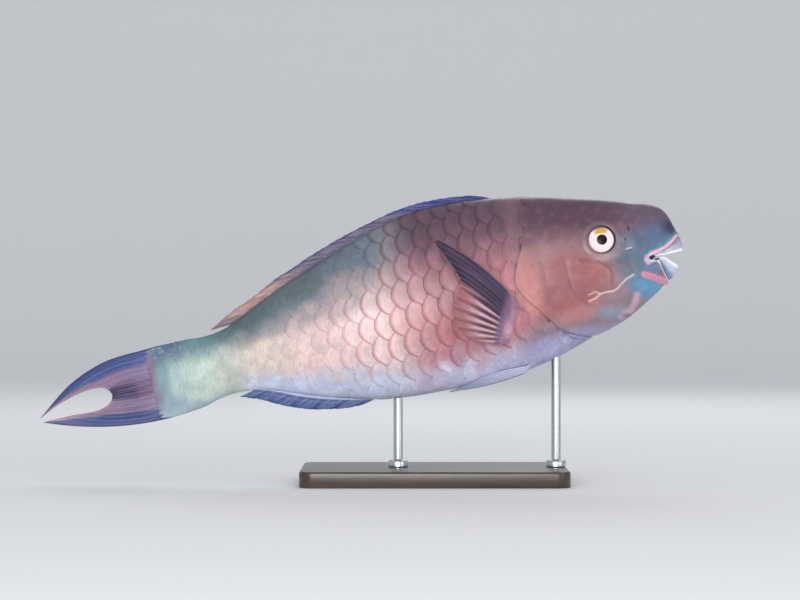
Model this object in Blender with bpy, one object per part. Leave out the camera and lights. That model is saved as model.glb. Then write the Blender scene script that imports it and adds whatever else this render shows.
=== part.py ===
"""A large parrotfish as a still, life-size museum model on a plain display stand.

The fish is shaped in its own frame, in millimetres back from the tip of its beak and up from its axis.
An empty carries the finished fish and gives it its nose-up pose over the base.
"""

import math

import bmesh
import bpy
import numpy as np
from mathutils import Matrix, Vector

MM = 0.001
GAP = 0.3  # clearance between neighbouring pieces

# Pose of the fish over the base
NOSE_UP = math.radians(14.7)
BEAK_TIP = Vector((186.0, 0.0, 173.5))

# Body: back from the beak, height of the back, height of the belly, half width
STATIONS = (
    (-2.5, 7.0, 7.0, 0.0),
    (-2.2, 12.0, 2.5, 4.0),
    (-1.2, 16.0, -0.5, 6.5),
    (0.2, 22.5, -3.5, 8.4),
    (2.5, 30.5, -7.2, 10.2),
    (6.0, 36.3, -11.8, 12.0),
    (11.0, 40.1, -16.5, 13.6),
    (18.0, 43.4, -20.7, 15.7),
    (27.0, 46.2, -25.9, 17.9),
    (38.0, 50.7, -31.6, 20.2),
    (50.0, 55.0, -37.4, 22.3),
    (65.0, 59.7, -42.0, 24.6),
    (80.0, 64.4, -45.6, 26.8),
    (100.0, 70.8, -51.0, 28.8),
    (122.0, 76.0, -55.6, 30.2),
    (145.0, 79.8, -57.8, 31.2),
    (170.0, 82.0, -58.2, 31.6),
    (198.0, 80.8, -56.0, 30.8),
    (225.0, 75.2, -53.8, 28.8),
    (250.0, 68.0, -49.6, 26.0),
    (275.0, 60.0, -42.0, 22.4),
    (300.0, 51.6, -33.0, 18.4),
    (325.0, 41.4, -22.4, 14.6),
    (345.0, 33.4, -18.3, 11.8),
    (362.0, 31.2, -18.8, 9.6),
    (380.0, 32.2, -22.4, 7.4),
    (400.0, 32.5, -22.9, 5.2),
)
WIDEST = 0.47  # height of the widest line, as a share of the depth
BACK_POWER, BELLY_POWER = 1.95, 2.2  # 2 is an ellipse, more is squarer
AROUND = 36

# Where the body is parted
GILL_EDGE = ((96, 92), (100, 74), (107, 58), (112.5, 44), (117, 32.5), (122, 24), (125.8, 15.5),
             (127, 7.5), (124.5, 0), (120, -7), (114.5, -15), (108.5, -24), (102, -33), (95, -39.8),
             (86, -44.5), (74, -52), (68, -66))
GILL_FLAP_TOP, GILL_FLAP_RISE, GILL_FLAP_REACH = 34.0, 1.3, 16.0
STALK_START, BODY_END = 345.0, 400.0
GILL_EDGE_STEPS = 3
STALK_OUTLINE = ((STALK_START, -70), (BODY_END + 9, -70), (BODY_END + 9, 100), (STALK_START, 100))

# Mouth
MOUTH_GAPE = ((-9, 1.6), (16, 2.2), (19.5, 1.5), (13.9, 0.3), (9.6, -3.8), (4.0, -9.9), (-9, -24))
UPPER_BEAK = ((-9, 12.4), (-0.2, 12.2), (6.3, 8.3), (11.7, 6.1), (22, 4.2), (19.5, 1.0), (-9, 1.0))
LOWER_BEAK = ((-9, -24), (-9, 2), (15, 2), (17.6, -0.4), (17, -6), (14.0, -16.8), (12.5, -24))
UPPER_LIP = ((-9, 15.6), (-0.2, 15.4), (7.0, 11.4), (12.5, 9.0), (24, 8.2), (28, 5.5), (28, -1.5),
             (22, 1.0), (19.5, 1.6), (22, 4.2), (11.7, 6.1), (6.3, 8.3), (-0.2, 12.2), (-9, 12.4))
LOWER_LIP = ((14.0, -16.8), (31.5, -6.0), (35, -8.8), (19.5, -20.5), (12.5, -26))
LIP_RISE = 0.9
BEAK_RISE = 0.35
MOUTH_HOLLOW_CENTRE, MOUTH_HOLLOW_RADII = (15.5, -2.6), (12.0, 10.2, 8.6)

# Eyes and nostrils
EYE_PLACE, EYE_RADIUS, EYE_FLATTEN, EYE_STANDS_OUT = (56.6, 24.7), 11.0, 0.5, 2.9
EYE_LEAN = 0.5
EYE_RIM_RADIUS, EYE_RIM_HALF_WIDTH, EYE_RIM_SINK = 11.2, 1.4, 0.5
NOSTRILS = (((34.2, 28.6), (1.3, 1.9)), ((38.7, 20.4), (0.8, 1.6)))
NOSTRIL_DEPTH = 2.2

# Fins
RAY_HALF_THICKNESS, WEB_HALF_THICKNESS, EDGE_HALF_THICKNESS = 0.75, 0.34, 0.28
RAY_FOOT = 0.22  # half width of a ray's foot, as a share of the way to the next ray
FOLDED_FIN_GAP, FOLDED_FIN_BOW = 0.35, 0.35
DORSAL_RAYS, DORSAL_ROOT, DORSAL_SWEEP = 19, (123.0, 337.0), 21.0
DORSAL_EDGE = ((122, 77.2), (130, 79.8), (150, 83.6), (165, 85.7), (180, 86.6), (190, 86.4), (205, 84.9),
               (220, 81.9), (237, 78.3), (250, 75.0), (262, 71.5), (275, 67.5), (287, 63.0), (300, 59.0),
               (312, 53.6), (325, 48.2), (339, 43.2), (348, 38.8), (358, 33.6))
ANAL_RAYS, ANAL_ROOT, ANAL_SWEEP = 12, (248.0, 334.0), 15.0
ANAL_EDGE = ((248, -51.2), (261, -50.2), (275, -49.2), (287, -46.7), (300, -43.5), (315, -37.4),
             (324, -32.8), (334, -27.0), (342, -23.6), (349, -20.6))
TAIL_RAYS = 15
TAIL_TIPS = ((500.0, 1.2), (487, 7.0), (474, 11.0), (461, 13.2), (449, 12.6), (443.5, 8.5), (442.5, 4.0),
             (446, -0.6), (455, -3.4), (466, -3.0), (478, -2.0), (498, -1.7))
TAIL_BULGE_UPPER, TAIL_BULGE_LOWER = (459.0, 36.5), (446.0, -25.5)
TAIL_BULGE_POWER, TAIL_FLESH_SHARE = 1.5, 0.18
TAIL_ROWS = (0, 0.07, 0.15, 0.26, 0.42, 0.6, 0.8, 1)
PECTORAL_RAYS = 14
PECTORAL_ROOT = ((128, -8.5), (131.5, -13.5), (135, -19), (137.5, -24.5), (139.5, -29.5), (141, -33))
PECTORAL_TIPS = ((175.6, 55.6), (178.2, 52.6), (175.2, 46), (171.6, 37), (168.6, 29), (167.4, 21.5),
                 (171.4, 14), (177, 6.5), (178.6, -3), (177, -12.5), (169, -23), (152, -31.5))
PECTORAL_SPREAD = math.radians(23)
PECTORAL_SUNK, PECTORAL_ROOT_RISE, PECTORAL_ROOT_LENGTH = 4.0, 5.2, 9.0
PECTORAL_BOW, PECTORAL_ROOT_HALF_THICKNESS = (-12.0, 15.0), 2.6
PECTORAL_ROWS = (0, 0.06, 0.12, 0.2, 0.34, 0.5, 0.66, 0.83, 1)
PELVIC_RAYS, PELVIC_ROOT, PELVIC_LENGTHS = 6, 127.0, (69.0, 44.0)
PELVIC_ROOT_TURNS, PELVIC_SPREAD_TURNS = (166.0, 158.0), (171.0, 147.0)
PELVIC_OPENS_BY, PELVIC_NARROWS = 0.8, 0.35  # shares of its length to full spread, and lost again by its tip
PELVIC_SUNK, PELVIC_ROOT_RISE, PELVIC_ROOT_SHARE, PELVIC_TIP_RISE = 1.5, 4.2, 1 / 6, 1.4
PELVIC_AXIS_SHARE = 0.2  # height that the fin stands away from, as a share of the belly's
PELVIC_ROWS = (0, 0.06, 0.14, 0.26, 0.42, 0.6, 0.8, 1)

# Stand
BASE_SIZE, BASE_CORNER, BASE_EDGE = (200.0, 118.0, 12.0), 10.0, 1.5
ROD_RADIUS, COLLAR_RADIUS, COLLAR_HEIGHT, ROD_SPARE = 3.5, 7.5, 5.0, 6.0
ROD_SIDES = 24
ROD_PLACES = {"stand_rod_front": 111.0, "stand_rod_rear": 234.0}

for thing in list(bpy.data.objects):
    bpy.data.objects.remove(thing, do_unlink=True)


def smooth_rows(rows, steps):
    """The rows joined by one smooth curve, with this many steps from each to the next."""
    rows = np.array(rows, float)
    rows = np.vstack([2 * rows[0] - rows[1], rows, 2 * rows[-1] - rows[-2]])
    curve = []
    for a, b, c, d in zip(rows, rows[1:], rows[2:], rows[3:]):
        for t in np.arange(steps) / steps:
            turn = (2 * a - 5 * b + 4 * c - d) * t**2 + (3 * b - a - 3 * c + d) * t**3
            curve.append(b + 0.5 * ((c - a) * t + turn))
    curve.append(rows[-2])
    return np.array(curve)


BODY_CURVE = smooth_rows(STATIONS, 16)
GILL_CURVE = [tuple(point) for point in smooth_rows(GILL_EDGE, GILL_EDGE_STEPS)]
HEAD_OUTLINE = [(-20, 100)] + GILL_CURVE + [(-20, -70)]


def body_at(back):
    """Height of the back, height of the belly and half width, this far back from the beak."""
    return [np.interp(back, BODY_CURVE[:, 0], BODY_CURVE[:, i]) for i in (1, 2, 3)]


def skin_point(back, top, belly, half, turn):
    """The point of one cross-section at an angle from the back, round by the fish's left side."""
    middle = belly + WIDEST * (top - belly)
    up, side = math.cos(turn), math.sin(turn)
    reach, power = (top - middle, BACK_POWER) if up > 0 else (middle - belly, BELLY_POWER)
    y = half * math.copysign(abs(side) ** (2 / power), side)
    return Vector((-back, y, middle + reach * math.copysign(abs(up) ** (2 / power), up)))


def flank(back, height):
    """Half width of the body at a height, this far back."""
    top, belly, half = body_at(back)
    middle = belly + WIDEST * (top - belly)
    reach, power = (top - middle, BACK_POWER) if height > middle else (middle - belly, BELLY_POWER)
    share = min(abs(height - middle) / max(reach, 1e-6), 1.0)
    return half * (1 - share**power) ** (1 / power)


def tidy_mesh(mesh, name):
    """The bmesh as an object in metres, its faces pointing out."""
    bmesh.ops.recalc_face_normals(mesh, faces=mesh.faces)
    bmesh.ops.scale(mesh, vec=(MM, MM, MM), verts=mesh.verts)
    data = bpy.data.meshes.new(name)
    mesh.to_mesh(data)
    mesh.free()
    made = bpy.data.objects.new(name, data)
    bpy.context.collection.objects.link(made)
    return made


def gill_flare(back, height):
    """How far the gill cover stands out just ahead of its free edge."""
    edge = np.interp(-height, [-z for _, z in GILL_CURVE], [s for s, _ in GILL_CURVE])
    ahead = max(edge - back, 0.0) / GILL_FLAP_REACH
    fade = min(max((GILL_FLAP_TOP - height) / 12.0, 0.0), 1.0)
    return GILL_FLAP_RISE * fade * math.exp(-ahead * ahead * 2)


def body_shell(name, grow=0.0, flared=False):
    """The whole body as one closed loft, grown outwards or with its gill covers standing out."""
    mesh = bmesh.new()
    rings = smooth_rows(STATIONS, 2)
    turns = [2 * math.pi * i / AROUND for i in range(AROUND)]
    nose = mesh.verts.new(skin_point(*rings[0], 0.0))
    last = None
    for row in rings[1:]:
        ring = [mesh.verts.new(skin_point(*row, turn)) for turn in turns]
        edges = [mesh.edges.new((ring[i - 1], ring[i])) for i in range(AROUND)]
        if last is None:
            for i in range(AROUND):
                mesh.faces.new((nose, ring[i - 1], ring[i]))
        else:
            bmesh.ops.bridge_loops(mesh, edges=last + edges)
        last = edges
    mesh.faces.new(ring)
    bmesh.ops.recalc_face_normals(mesh, faces=mesh.faces)
    mesh.normal_update()
    lifts = [grow + (gill_flare(-v.co.x, v.co.z) if flared else 0.0) for v in mesh.verts]
    for vert, lift in zip(list(mesh.verts), lifts):
        vert.co += vert.normal * lift
    return tidy_mesh(mesh, name)


def side_plate(name, outline, half_width=60.0):
    """A side-view outline run right through the fish, to keep or to cut away."""
    mesh = bmesh.new()
    corners = [mesh.verts.new((-back, -half_width, height)) for back, height in outline]
    face = mesh.faces.new(corners)
    pushed = bmesh.ops.extrude_face_region(mesh, geom=[face])["geom"]
    verts = [v for v in pushed if isinstance(v, bmesh.types.BMVert)]
    bmesh.ops.translate(mesh, vec=(0, 2 * half_width, 0), verts=verts)
    return tidy_mesh(mesh, name)


def ball(name, centre, radii, segments=24, rings=12):
    """An egg-shaped ball with its poles to the two sides of the fish."""
    mesh = bmesh.new()
    bmesh.ops.create_uvsphere(mesh, u_segments=segments, v_segments=rings, radius=1.0)
    bmesh.ops.rotate(mesh, cent=(0, 0, 0), matrix=Matrix.Rotation(math.pi / 2, 3, "X"), verts=mesh.verts)
    bmesh.ops.scale(mesh, vec=radii, verts=mesh.verts)
    bmesh.ops.translate(mesh, vec=centre, verts=mesh.verts)
    return tidy_mesh(mesh, name)


def combine(piece, other, operation, solver="EXACT"):
    """The piece joined with, cut by or kept inside another closed shape, which is then removed."""
    change = piece.modifiers.new("combine", "BOOLEAN")
    change.operation, change.object, change.solver = operation, other, solver
    bpy.context.view_layer.update()
    result = bpy.data.meshes.new_from_object(piece.evaluated_get(bpy.context.evaluated_depsgraph_get()))
    piece.modifiers.clear()
    piece.data = result
    bpy.data.objects.remove(other, do_unlink=True)
    return piece


def keep_largest(piece):
    """Only the largest closed surface of the piece stays."""
    mesh = bmesh.new()
    mesh.from_mesh(piece.data)
    left, groups = set(mesh.faces), []
    while left:
        start = left.pop()
        group, edge_of = [start], [start]
        while edge_of:
            for edge in edge_of.pop().edges:
                for face in edge.link_faces:
                    if face in left:
                        left.remove(face)
                        group.append(face)
                        edge_of.append(face)
        groups.append(group)
    groups.sort(key=lambda faces: sum(face.calc_area() for face in faces))
    for group in groups[:-1]:
        bmesh.ops.delete(mesh, geom=group, context="FACES")
    mesh.to_mesh(piece.data)
    mesh.free()
    return piece


def outset(outline, by=GAP):
    """An outline with each of its sides moved out by the same distance."""
    points = [Vector(point) for point in outline]
    area = sum(a.x * b.y - b.x * a.y for a, b in zip(points, points[1:] + points[:1]))
    moved = []
    for before, point, after in zip(points[-1:] + points, points, points[1:] + points[:1]):
        sides = [(point - before).normalized(), (after - point).normalized()]
        normals = [Vector((side.y, -side.x)) * math.copysign(1, area) for side in sides]
        middle = (normals[0] + normals[1]).normalized()
        moved.append(point + middle * by / max(middle.dot(normals[0]), 0.35))
    return [tuple(point) for point in moved]


def finished(piece, colour, roughness, metallic=0.0):
    """The piece with its own material and smooth round faces."""
    material = bpy.data.materials.new(piece.name)
    material.use_nodes = True
    shader = material.node_tree.nodes["Principled BSDF"]
    shader.inputs["Base Color"].default_value = (*colour, 1.0)
    shader.inputs["Roughness"].default_value = roughness
    shader.inputs["Metallic"].default_value = metallic
    piece.data.materials.clear()
    piece.data.materials.append(material)
    piece.data.shade_smooth()
    piece.data.set_sharp_from_angle(angle=math.radians(35))
    return piece


def cheek_normal(side, share=1.0):
    """Which way the cheek faces at the eye, or part of the way there from straight sideways."""
    back, height = EYE_PLACE
    aft = (flank(back + EYE_RADIUS, height) - flank(back - EYE_RADIUS, height)) / (2 * EYE_RADIUS)
    rise = (flank(back, height + EYE_RADIUS) - flank(back, height - EYE_RADIUS)) / (2 * EYE_RADIUS)
    return Vector((share * aft, side, -share * rise)).normalized()


def eye_ball(name, side, grow=0.0):
    """An eye, flattened across the fish, with its front just proud of the cheek."""
    back, height = EYE_PLACE
    depth = EYE_RADIUS * EYE_FLATTEN
    made = ball(name, (0, 0, 0), (EYE_RADIUS + grow, depth + grow, EYE_RADIUS + grow), 20, 12)
    turn = Vector((0, side, 0)).rotation_difference(cheek_normal(side, EYE_LEAN)).to_matrix().to_4x4()
    place = Vector((-back, side * (flank(back, height) + EYE_STANDS_OUT - depth), height)) * MM
    made.data.transform(Matrix.Translation(place) @ turn)
    return made


def eye_rim(name, side):
    """The fleshy rim round an eye, a round-backed ring lying on the cheek."""
    back, height = EYE_PLACE
    mesh = bmesh.new()
    bmesh.ops.create_circle(mesh, segments=8, radius=EYE_RIM_HALF_WIDTH)
    bmesh.ops.rotate(mesh, matrix=Matrix.Rotation(math.pi / 2, 3, "X"), verts=mesh.verts)
    bmesh.ops.translate(mesh, vec=(EYE_RIM_RADIUS, 0, 0), verts=mesh.verts)
    section = mesh.verts[:] + mesh.edges[:]
    bmesh.ops.spin(mesh, geom=section, axis=(0, 0, 1), steps=24, angle=2 * math.pi, use_merge=True)
    bmesh.ops.remove_doubles(mesh, verts=mesh.verts, dist=1e-4)
    turn = Vector((0, 0, 1)).rotation_difference(cheek_normal(side)).to_matrix()
    bmesh.ops.rotate(mesh, matrix=turn, verts=mesh.verts)
    place = (-back, side * (flank(back, height) - EYE_RIM_SINK), height)
    bmesh.ops.translate(mesh, vec=place, verts=mesh.verts)
    return tidy_mesh(mesh, name)


def head():
    """The head back to the gill edge, with its lips, eye rims, mouth and nostrils."""
    made = combine(body_shell("head", flared=True), side_plate("front", HEAD_OUTLINE), "INTERSECT")
    for outline in (UPPER_LIP, LOWER_LIP):
        lip = combine(body_shell("lip", LIP_RISE), side_plate("band", outline), "INTERSECT")
        combine(made, lip, "UNION")
    for side in (-1, 1):
        combine(made, eye_rim("rim", side), "UNION")
    combine(made, side_plate("gape", MOUTH_GAPE), "DIFFERENCE")
    for outline in (UPPER_BEAK, LOWER_BEAK):
        combine(made, side_plate("beak room", outset(outline)), "DIFFERENCE")
    back, height = MOUTH_HOLLOW_CENTRE
    combine(made, ball("hollow", (-back, 0, height), MOUTH_HOLLOW_RADII), "DIFFERENCE")
    for side in (-1, 1):
        combine(made, eye_ball("socket", side, GAP), "DIFFERENCE")
        for (back, height), (half_long, half_high) in NOSTRILS:
            centre = (-back, side * flank(back, height), height)
            pit = ball("pit", centre, (half_long, NOSTRIL_DEPTH, half_high), 10, 6)
            combine(made, pit, "DIFFERENCE")
    return keep_largest(made)


def beak(name, outline):
    """One fused tooth plate of the beak, round the front of its jaw and hollowed behind."""
    made = combine(body_shell(name, BEAK_RISE), side_plate("plate", outline), "INTERSECT")
    combine(made, side_plate("gape", MOUTH_GAPE), "DIFFERENCE")
    back, height = MOUTH_HOLLOW_CENTRE
    combine(made, ball("hollow", (-back, 0, height), MOUTH_HOLLOW_RADII), "DIFFERENCE")
    return keep_largest(made)


def torso():
    """The scaled trunk from the gill edge to the tail stalk."""
    made = combine(body_shell("torso"), side_plate("front", outset(HEAD_OUTLINE)), "DIFFERENCE")
    return keep_largest(combine(made, side_plate("rear", outset(STALK_OUTLINE)), "DIFFERENCE"))


def tail_stalk():
    """The scaled stalk that carries the tail fin."""
    made = combine(body_shell("tail_stalk"), side_plate("rear", STALK_OUTLINE), "INTERSECT")
    return keep_largest(made)


def ray_columns(rays, foot):
    """Places across a fin, from 0 to 1, each with how much of a ray's ridge stands there."""
    columns = []
    for i in range(rays):
        crest = i / (rays - 1)
        pitch = 1 / (rays - 1)
        for offset, ridge in ((-foot, 0.0), (0.0, 1.0), (foot, 0.0)):
            place = crest + offset * pitch
            if -1e-9 <= place <= 1 + 1e-9:
                columns.append((place, ridge))
    return columns


def fin(name, columns, rows, centre, half_thickness):
    """A thin closed blade: a grid pushed out both ways from its middle surface, alike on both faces.

    centre(across, along) gives a point of the middle surface and its unit normal, and
    half_thickness(across, along, ridge) how far each face stands from it.
    """
    mesh = bmesh.new()
    bmesh.ops.create_grid(mesh, x_segments=len(columns) - 1, y_segments=len(rows) - 1, size=0.5)
    bmesh.ops.triangulate(mesh, faces=mesh.faces, quad_method="FIXED")
    lower = set(mesh.verts)
    bmesh.ops.extrude_face_region(mesh, geom=mesh.faces[:])
    for vert in mesh.verts:
        across, ridge = columns[round((vert.co.x + 0.5) * (len(columns) - 1))]
        along = rows[round((vert.co.y + 0.5) * (len(rows) - 1))]
        point, normal = centre(across, along)
        side = -1 if vert in lower else 1
        vert.co = point + normal * side * half_thickness(across, along, ridge)
    return tidy_mesh(mesh, name)


def web_thickness(across, along, ridge):
    """Half thickness of a fin's web or ray, thinning to the free edge."""
    full = WEB_HALF_THICKNESS + ridge * (RAY_HALF_THICKNESS - WEB_HALF_THICKNESS)
    return EDGE_HALF_THICKNESS + (full - EDGE_HALF_THICKNESS) * (1 - along**3)


def folded_fin(name, rays, root, sweep, edge, away):
    """A low, folded fin on the mid line, its rays swept back from the body's outline.

    away is 1 on the back and -1 on the belly.
    """
    backs, heights = zip(*edge)

    def centre(across, along):
        start = root[0] + across * (root[1] - root[0])
        end = start + sweep
        foot = body_at(start)[0 if away > 0 else 1] + away * FOLDED_FIN_GAP
        tip = np.interp(end, backs, heights)
        rise = along + FOLDED_FIN_BOW * along * (1 - along)
        return Vector((-(start + along * sweep), 0, foot + rise * (tip - foot))), Vector((0, 1, 0))

    return fin(name, ray_columns(rays, RAY_FOOT), (0, 0.5, 1), centre, web_thickness)


def tail_fin():
    """The lunate tail fin, its lobes folded so that their tips nearly meet."""
    top, belly, half = body_at(BODY_END)
    tips = smooth_rows(TAIL_TIPS, 6)
    places = np.linspace(0, 1, len(tips))
    middle = belly + WIDEST * (top - belly)

    def centre(across, along):
        root = Vector((BODY_END + GAP, top + across * (belly - top)))
        tip = Vector([np.interp(across, places, tips[:, i]) for i in (0, 1)])
        outer = abs(1 - 2 * across)
        lobe = Vector(TAIL_BULGE_UPPER if across < 0.5 else TAIL_BULGE_LOWER)
        straight = root.lerp(tip, 0.5)
        bulge = straight.lerp(lobe, outer**TAIL_BULGE_POWER)
        point = root * (1 - along) ** 2 + bulge * 2 * along * (1 - along) + tip * along**2
        return Vector((-point.x, 0, point.y)), Vector((0, 1, 0))

    def half_thickness(across, along, ridge):
        height = top + across * (belly - top)
        fleshy = flank(BODY_END, height) * math.exp(-((along / TAIL_FLESH_SHARE) ** 2))
        return max(fleshy, web_thickness(across, along, ridge))

    return fin("caudal_fin", ray_columns(TAIL_RAYS, RAY_FOOT), TAIL_ROWS, centre, half_thickness)


def paired_blade(name, columns, rows, point_at, half_thickness):
    """A fin of a pair, its faces pushed out along the true normal of its middle surface."""
    step = 1e-3

    def centre(across, along):
        point = point_at(across, along)
        over = point_at(across + step, along) - point_at(across - step, along)
        on = point_at(across, along + step) - point_at(across, along - step)
        return point, over.cross(on).normalized()

    return fin(name, columns, rows, centre, half_thickness)


def pectoral_fin(name, side):
    """A pectoral fin, raised and held a little off the flank on its fleshy root."""
    root, tips = smooth_rows(PECTORAL_ROOT, 6), smooth_rows(PECTORAL_TIPS, 6)

    def pick(rows, across):
        places = np.linspace(0, 1, len(rows))
        return Vector([np.interp(across, places, rows[:, i]) for i in (0, 1)])

    def point_at(across, along):
        foot, tip = pick(root, across), pick(tips, across)
        bowed = along * (1 - along) * (1 - across) ** 2
        place = foot.lerp(tip, along) + Vector(PECTORAL_BOW) * bowed
        away = (tip - foot).length * along
        rise = min(max(away / PECTORAL_ROOT_LENGTH, 0.0), 1.0)
        lift = PECTORAL_ROOT_RISE * rise * rise * (3 - 2 * rise) - PECTORAL_SUNK
        out = flank(foot.x, foot.y) + lift + away * math.sin(PECTORAL_SPREAD)
        return Vector((-place.x, side * out, place.y))

    def half_thickness(across, along, ridge):
        foot, tip = pick(root, across), pick(tips, across)
        away = (tip - foot).length * along
        fade = math.exp(-((away / PECTORAL_ROOT_LENGTH) ** 2)) * math.sin(math.pi * (0.1 + 0.8 * across))
        return max(PECTORAL_ROOT_HALF_THICKNESS * fade, web_thickness(across, along, ridge))

    columns = ray_columns(PECTORAL_RAYS, RAY_FOOT)
    made = paired_blade(name, columns, PECTORAL_ROWS, point_at, half_thickness)
    return keep_largest(combine(made, body_shell("flank room", GAP), "DIFFERENCE"))


def pelvic_fin(name, side):
    """A pelvic fin folded back along the belly."""

    def point_at(across, along):
        length = PELVIC_LENGTHS[0] + across * (PELVIC_LENGTHS[1] - PELVIC_LENGTHS[0])
        opened = min(along / PELVIC_OPENS_BY, 1.0)
        spread = math.sin(opened * math.pi / 2) * (1 - PELVIC_NARROWS * along)
        outer = PELVIC_ROOT_TURNS[0] + spread * (PELVIC_SPREAD_TURNS[0] - PELVIC_ROOT_TURNS[0])
        inner = PELVIC_ROOT_TURNS[1] + spread * (PELVIC_SPREAD_TURNS[1] - PELVIC_ROOT_TURNS[1])
        turn = math.radians(outer + across * (inner - outer))
        back = PELVIC_ROOT + length * along
        skin = skin_point(back, *body_at(back), side * turn)
        middle = Vector((skin.x, 0, skin.z * PELVIC_AXIS_SHARE))
        rooted = min(along / PELVIC_ROOT_SHARE, 1.0)
        lift = PELVIC_ROOT_RISE * rooted + PELVIC_TIP_RISE * along - PELVIC_SUNK
        return skin + (skin - middle).normalized() * lift

    made = paired_blade(name, ray_columns(PELVIC_RAYS, RAY_FOOT), PELVIC_ROWS, point_at, web_thickness)
    return keep_largest(combine(made, body_shell("belly room", GAP), "DIFFERENCE"))


def stand_base():
    """The flat, round-cornered plate of the stand, its underside on the ground."""
    mesh = bmesh.new()
    bmesh.ops.create_cube(mesh, size=1.0)
    bmesh.ops.scale(mesh, vec=BASE_SIZE, verts=mesh.verts)
    bmesh.ops.translate(mesh, vec=(0, 0, BASE_SIZE[2] / 2), verts=mesh.verts)
    round_off = {"profile": 0.5, "affect": "EDGES", "material": -1}
    upright = [e for e in mesh.edges if abs(e.verts[0].co.z - e.verts[1].co.z) > 1]
    bmesh.ops.bevel(mesh, geom=upright, offset=BASE_CORNER, segments=6, **round_off)
    top = [e for e in mesh.edges if all(v.co.z > BASE_SIZE[2] - 1e-3 for v in e.verts)]
    bmesh.ops.bevel(mesh, geom=top, offset=BASE_EDGE, segments=2, **round_off)
    return tidy_mesh(mesh, "stand_base")


def stand_rod(name, back, pose):
    """An upright rod on a low collar, its top cut to the belly that it carries."""
    belly = pose @ Vector((-back, 0, body_at(back)[1]))
    foot = BASE_SIZE[2] + GAP
    shoulder, top = foot + COLLAR_HEIGHT, belly.z + ROD_SPARE
    collar = ((0, foot), (COLLAR_RADIUS, foot), (COLLAR_RADIUS, shoulder))
    profile = collar + ((ROD_RADIUS, shoulder), (ROD_RADIUS, top), (0, top))
    mesh = bmesh.new()
    corners = [mesh.verts.new((radius, 0, height)) for radius, height in profile]
    edges = [mesh.edges.new(pair) for pair in zip(corners, corners[1:])]
    full_turn = {"axis": (0, 0, 1), "angle": 2 * math.pi, "use_merge": True}
    bmesh.ops.spin(mesh, geom=corners + edges, steps=ROD_SIDES, **full_turn)
    bmesh.ops.remove_doubles(mesh, verts=mesh.verts, dist=1e-3)
    bmesh.ops.translate(mesh, vec=(belly.x, 0, 0), verts=mesh.verts)
    made = tidy_mesh(mesh, name)
    room = body_shell("rod room", GAP)
    room.data.transform(Matrix.Scale(MM, 4) @ pose @ Matrix.Scale(1 / MM, 4))
    return keep_largest(combine(made, room, "DIFFERENCE"))


def hang_on_pose(pieces, pose):
    """An empty carries the fish's pieces and gives them their pose."""
    carrier = bpy.data.objects.new("fish_pose", None)
    bpy.context.collection.objects.link(carrier)
    carrier.location = pose.translation * MM
    carrier.rotation_euler = pose.to_euler()
    for piece in pieces:
        piece.parent = carrier


dorsal_fin = folded_fin("dorsal_fin", DORSAL_RAYS, DORSAL_ROOT, DORSAL_SWEEP, DORSAL_EDGE, 1)
anal_fin = folded_fin("anal_fin", ANAL_RAYS, ANAL_ROOT, ANAL_SWEEP, ANAL_EDGE, -1)
fish = [
    finished(head(), (0.32, 0.25, 0.30), 0.4),
    finished(torso(), (0.55, 0.42, 0.44), 0.4),
    finished(tail_stalk(), (0.45, 0.58, 0.55), 0.4),
    finished(beak("upper_beak", UPPER_BEAK), (0.72, 0.72, 0.76), 0.3),
    finished(beak("lower_beak", LOWER_BEAK), (0.72, 0.72, 0.76), 0.3),
    finished(eye_ball("eye_right", -1), (0.75, 0.60, 0.45), 0.08),
    finished(eye_ball("eye_left", 1), (0.75, 0.60, 0.45), 0.08),
    finished(dorsal_fin, (0.12, 0.16, 0.42), 0.4),
    finished(anal_fin, (0.15, 0.22, 0.50), 0.4),
    finished(tail_fin(), (0.16, 0.22, 0.45), 0.4),
    finished(pectoral_fin("pectoral_fin_right", -1), (0.12, 0.10, 0.16), 0.4),
    finished(pectoral_fin("pectoral_fin_left", 1), (0.12, 0.10, 0.16), 0.4),
    finished(pelvic_fin("pelvic_fin_right", -1), (0.30, 0.40, 0.60), 0.4),
    finished(pelvic_fin("pelvic_fin_left", 1), (0.30, 0.40, 0.60), 0.4),
]
POSE = Matrix.Translation(BEAK_TIP) @ Matrix.Rotation(-NOSE_UP, 4, "Y")
hang_on_pose(fish, POSE)

finished(stand_base(), (0.05, 0.05, 0.055), 0.45)
for rod_name, rod_back in ROD_PLACES.items():
    finished(stand_rod(rod_name, rod_back, POSE), (0.55, 0.55, 0.57), 0.3, 1.0)
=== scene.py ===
"""The looks of a life-size museum model of a parrotfish on its stand."""
import math

import bmesh
import bpy
import numpy as np
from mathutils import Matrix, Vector


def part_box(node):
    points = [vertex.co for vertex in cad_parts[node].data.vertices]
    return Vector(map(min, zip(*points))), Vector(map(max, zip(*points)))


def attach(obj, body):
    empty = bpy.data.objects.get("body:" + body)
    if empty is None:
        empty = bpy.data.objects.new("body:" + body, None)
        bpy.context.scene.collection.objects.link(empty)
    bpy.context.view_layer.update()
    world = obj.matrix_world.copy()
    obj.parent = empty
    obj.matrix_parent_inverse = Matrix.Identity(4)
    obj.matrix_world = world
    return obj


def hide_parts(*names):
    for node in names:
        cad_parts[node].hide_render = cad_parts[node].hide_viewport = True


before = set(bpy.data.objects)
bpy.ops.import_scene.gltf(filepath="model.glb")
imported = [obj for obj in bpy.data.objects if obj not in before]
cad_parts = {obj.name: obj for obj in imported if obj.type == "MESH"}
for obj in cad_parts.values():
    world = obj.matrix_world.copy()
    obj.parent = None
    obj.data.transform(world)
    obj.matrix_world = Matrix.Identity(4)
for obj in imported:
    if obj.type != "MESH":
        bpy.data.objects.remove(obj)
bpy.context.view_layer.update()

# Studio
# A level camera at the height of the fish's flank, square to its right side, as a diver would hold it.
# The model stands on a pale floor that sweeps up behind it, under broad soft lamps.
CAMERA_AIM = Vector((-0.0256, 0.0, 0.138))
CAMERA_AWAY = 1.9
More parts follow.
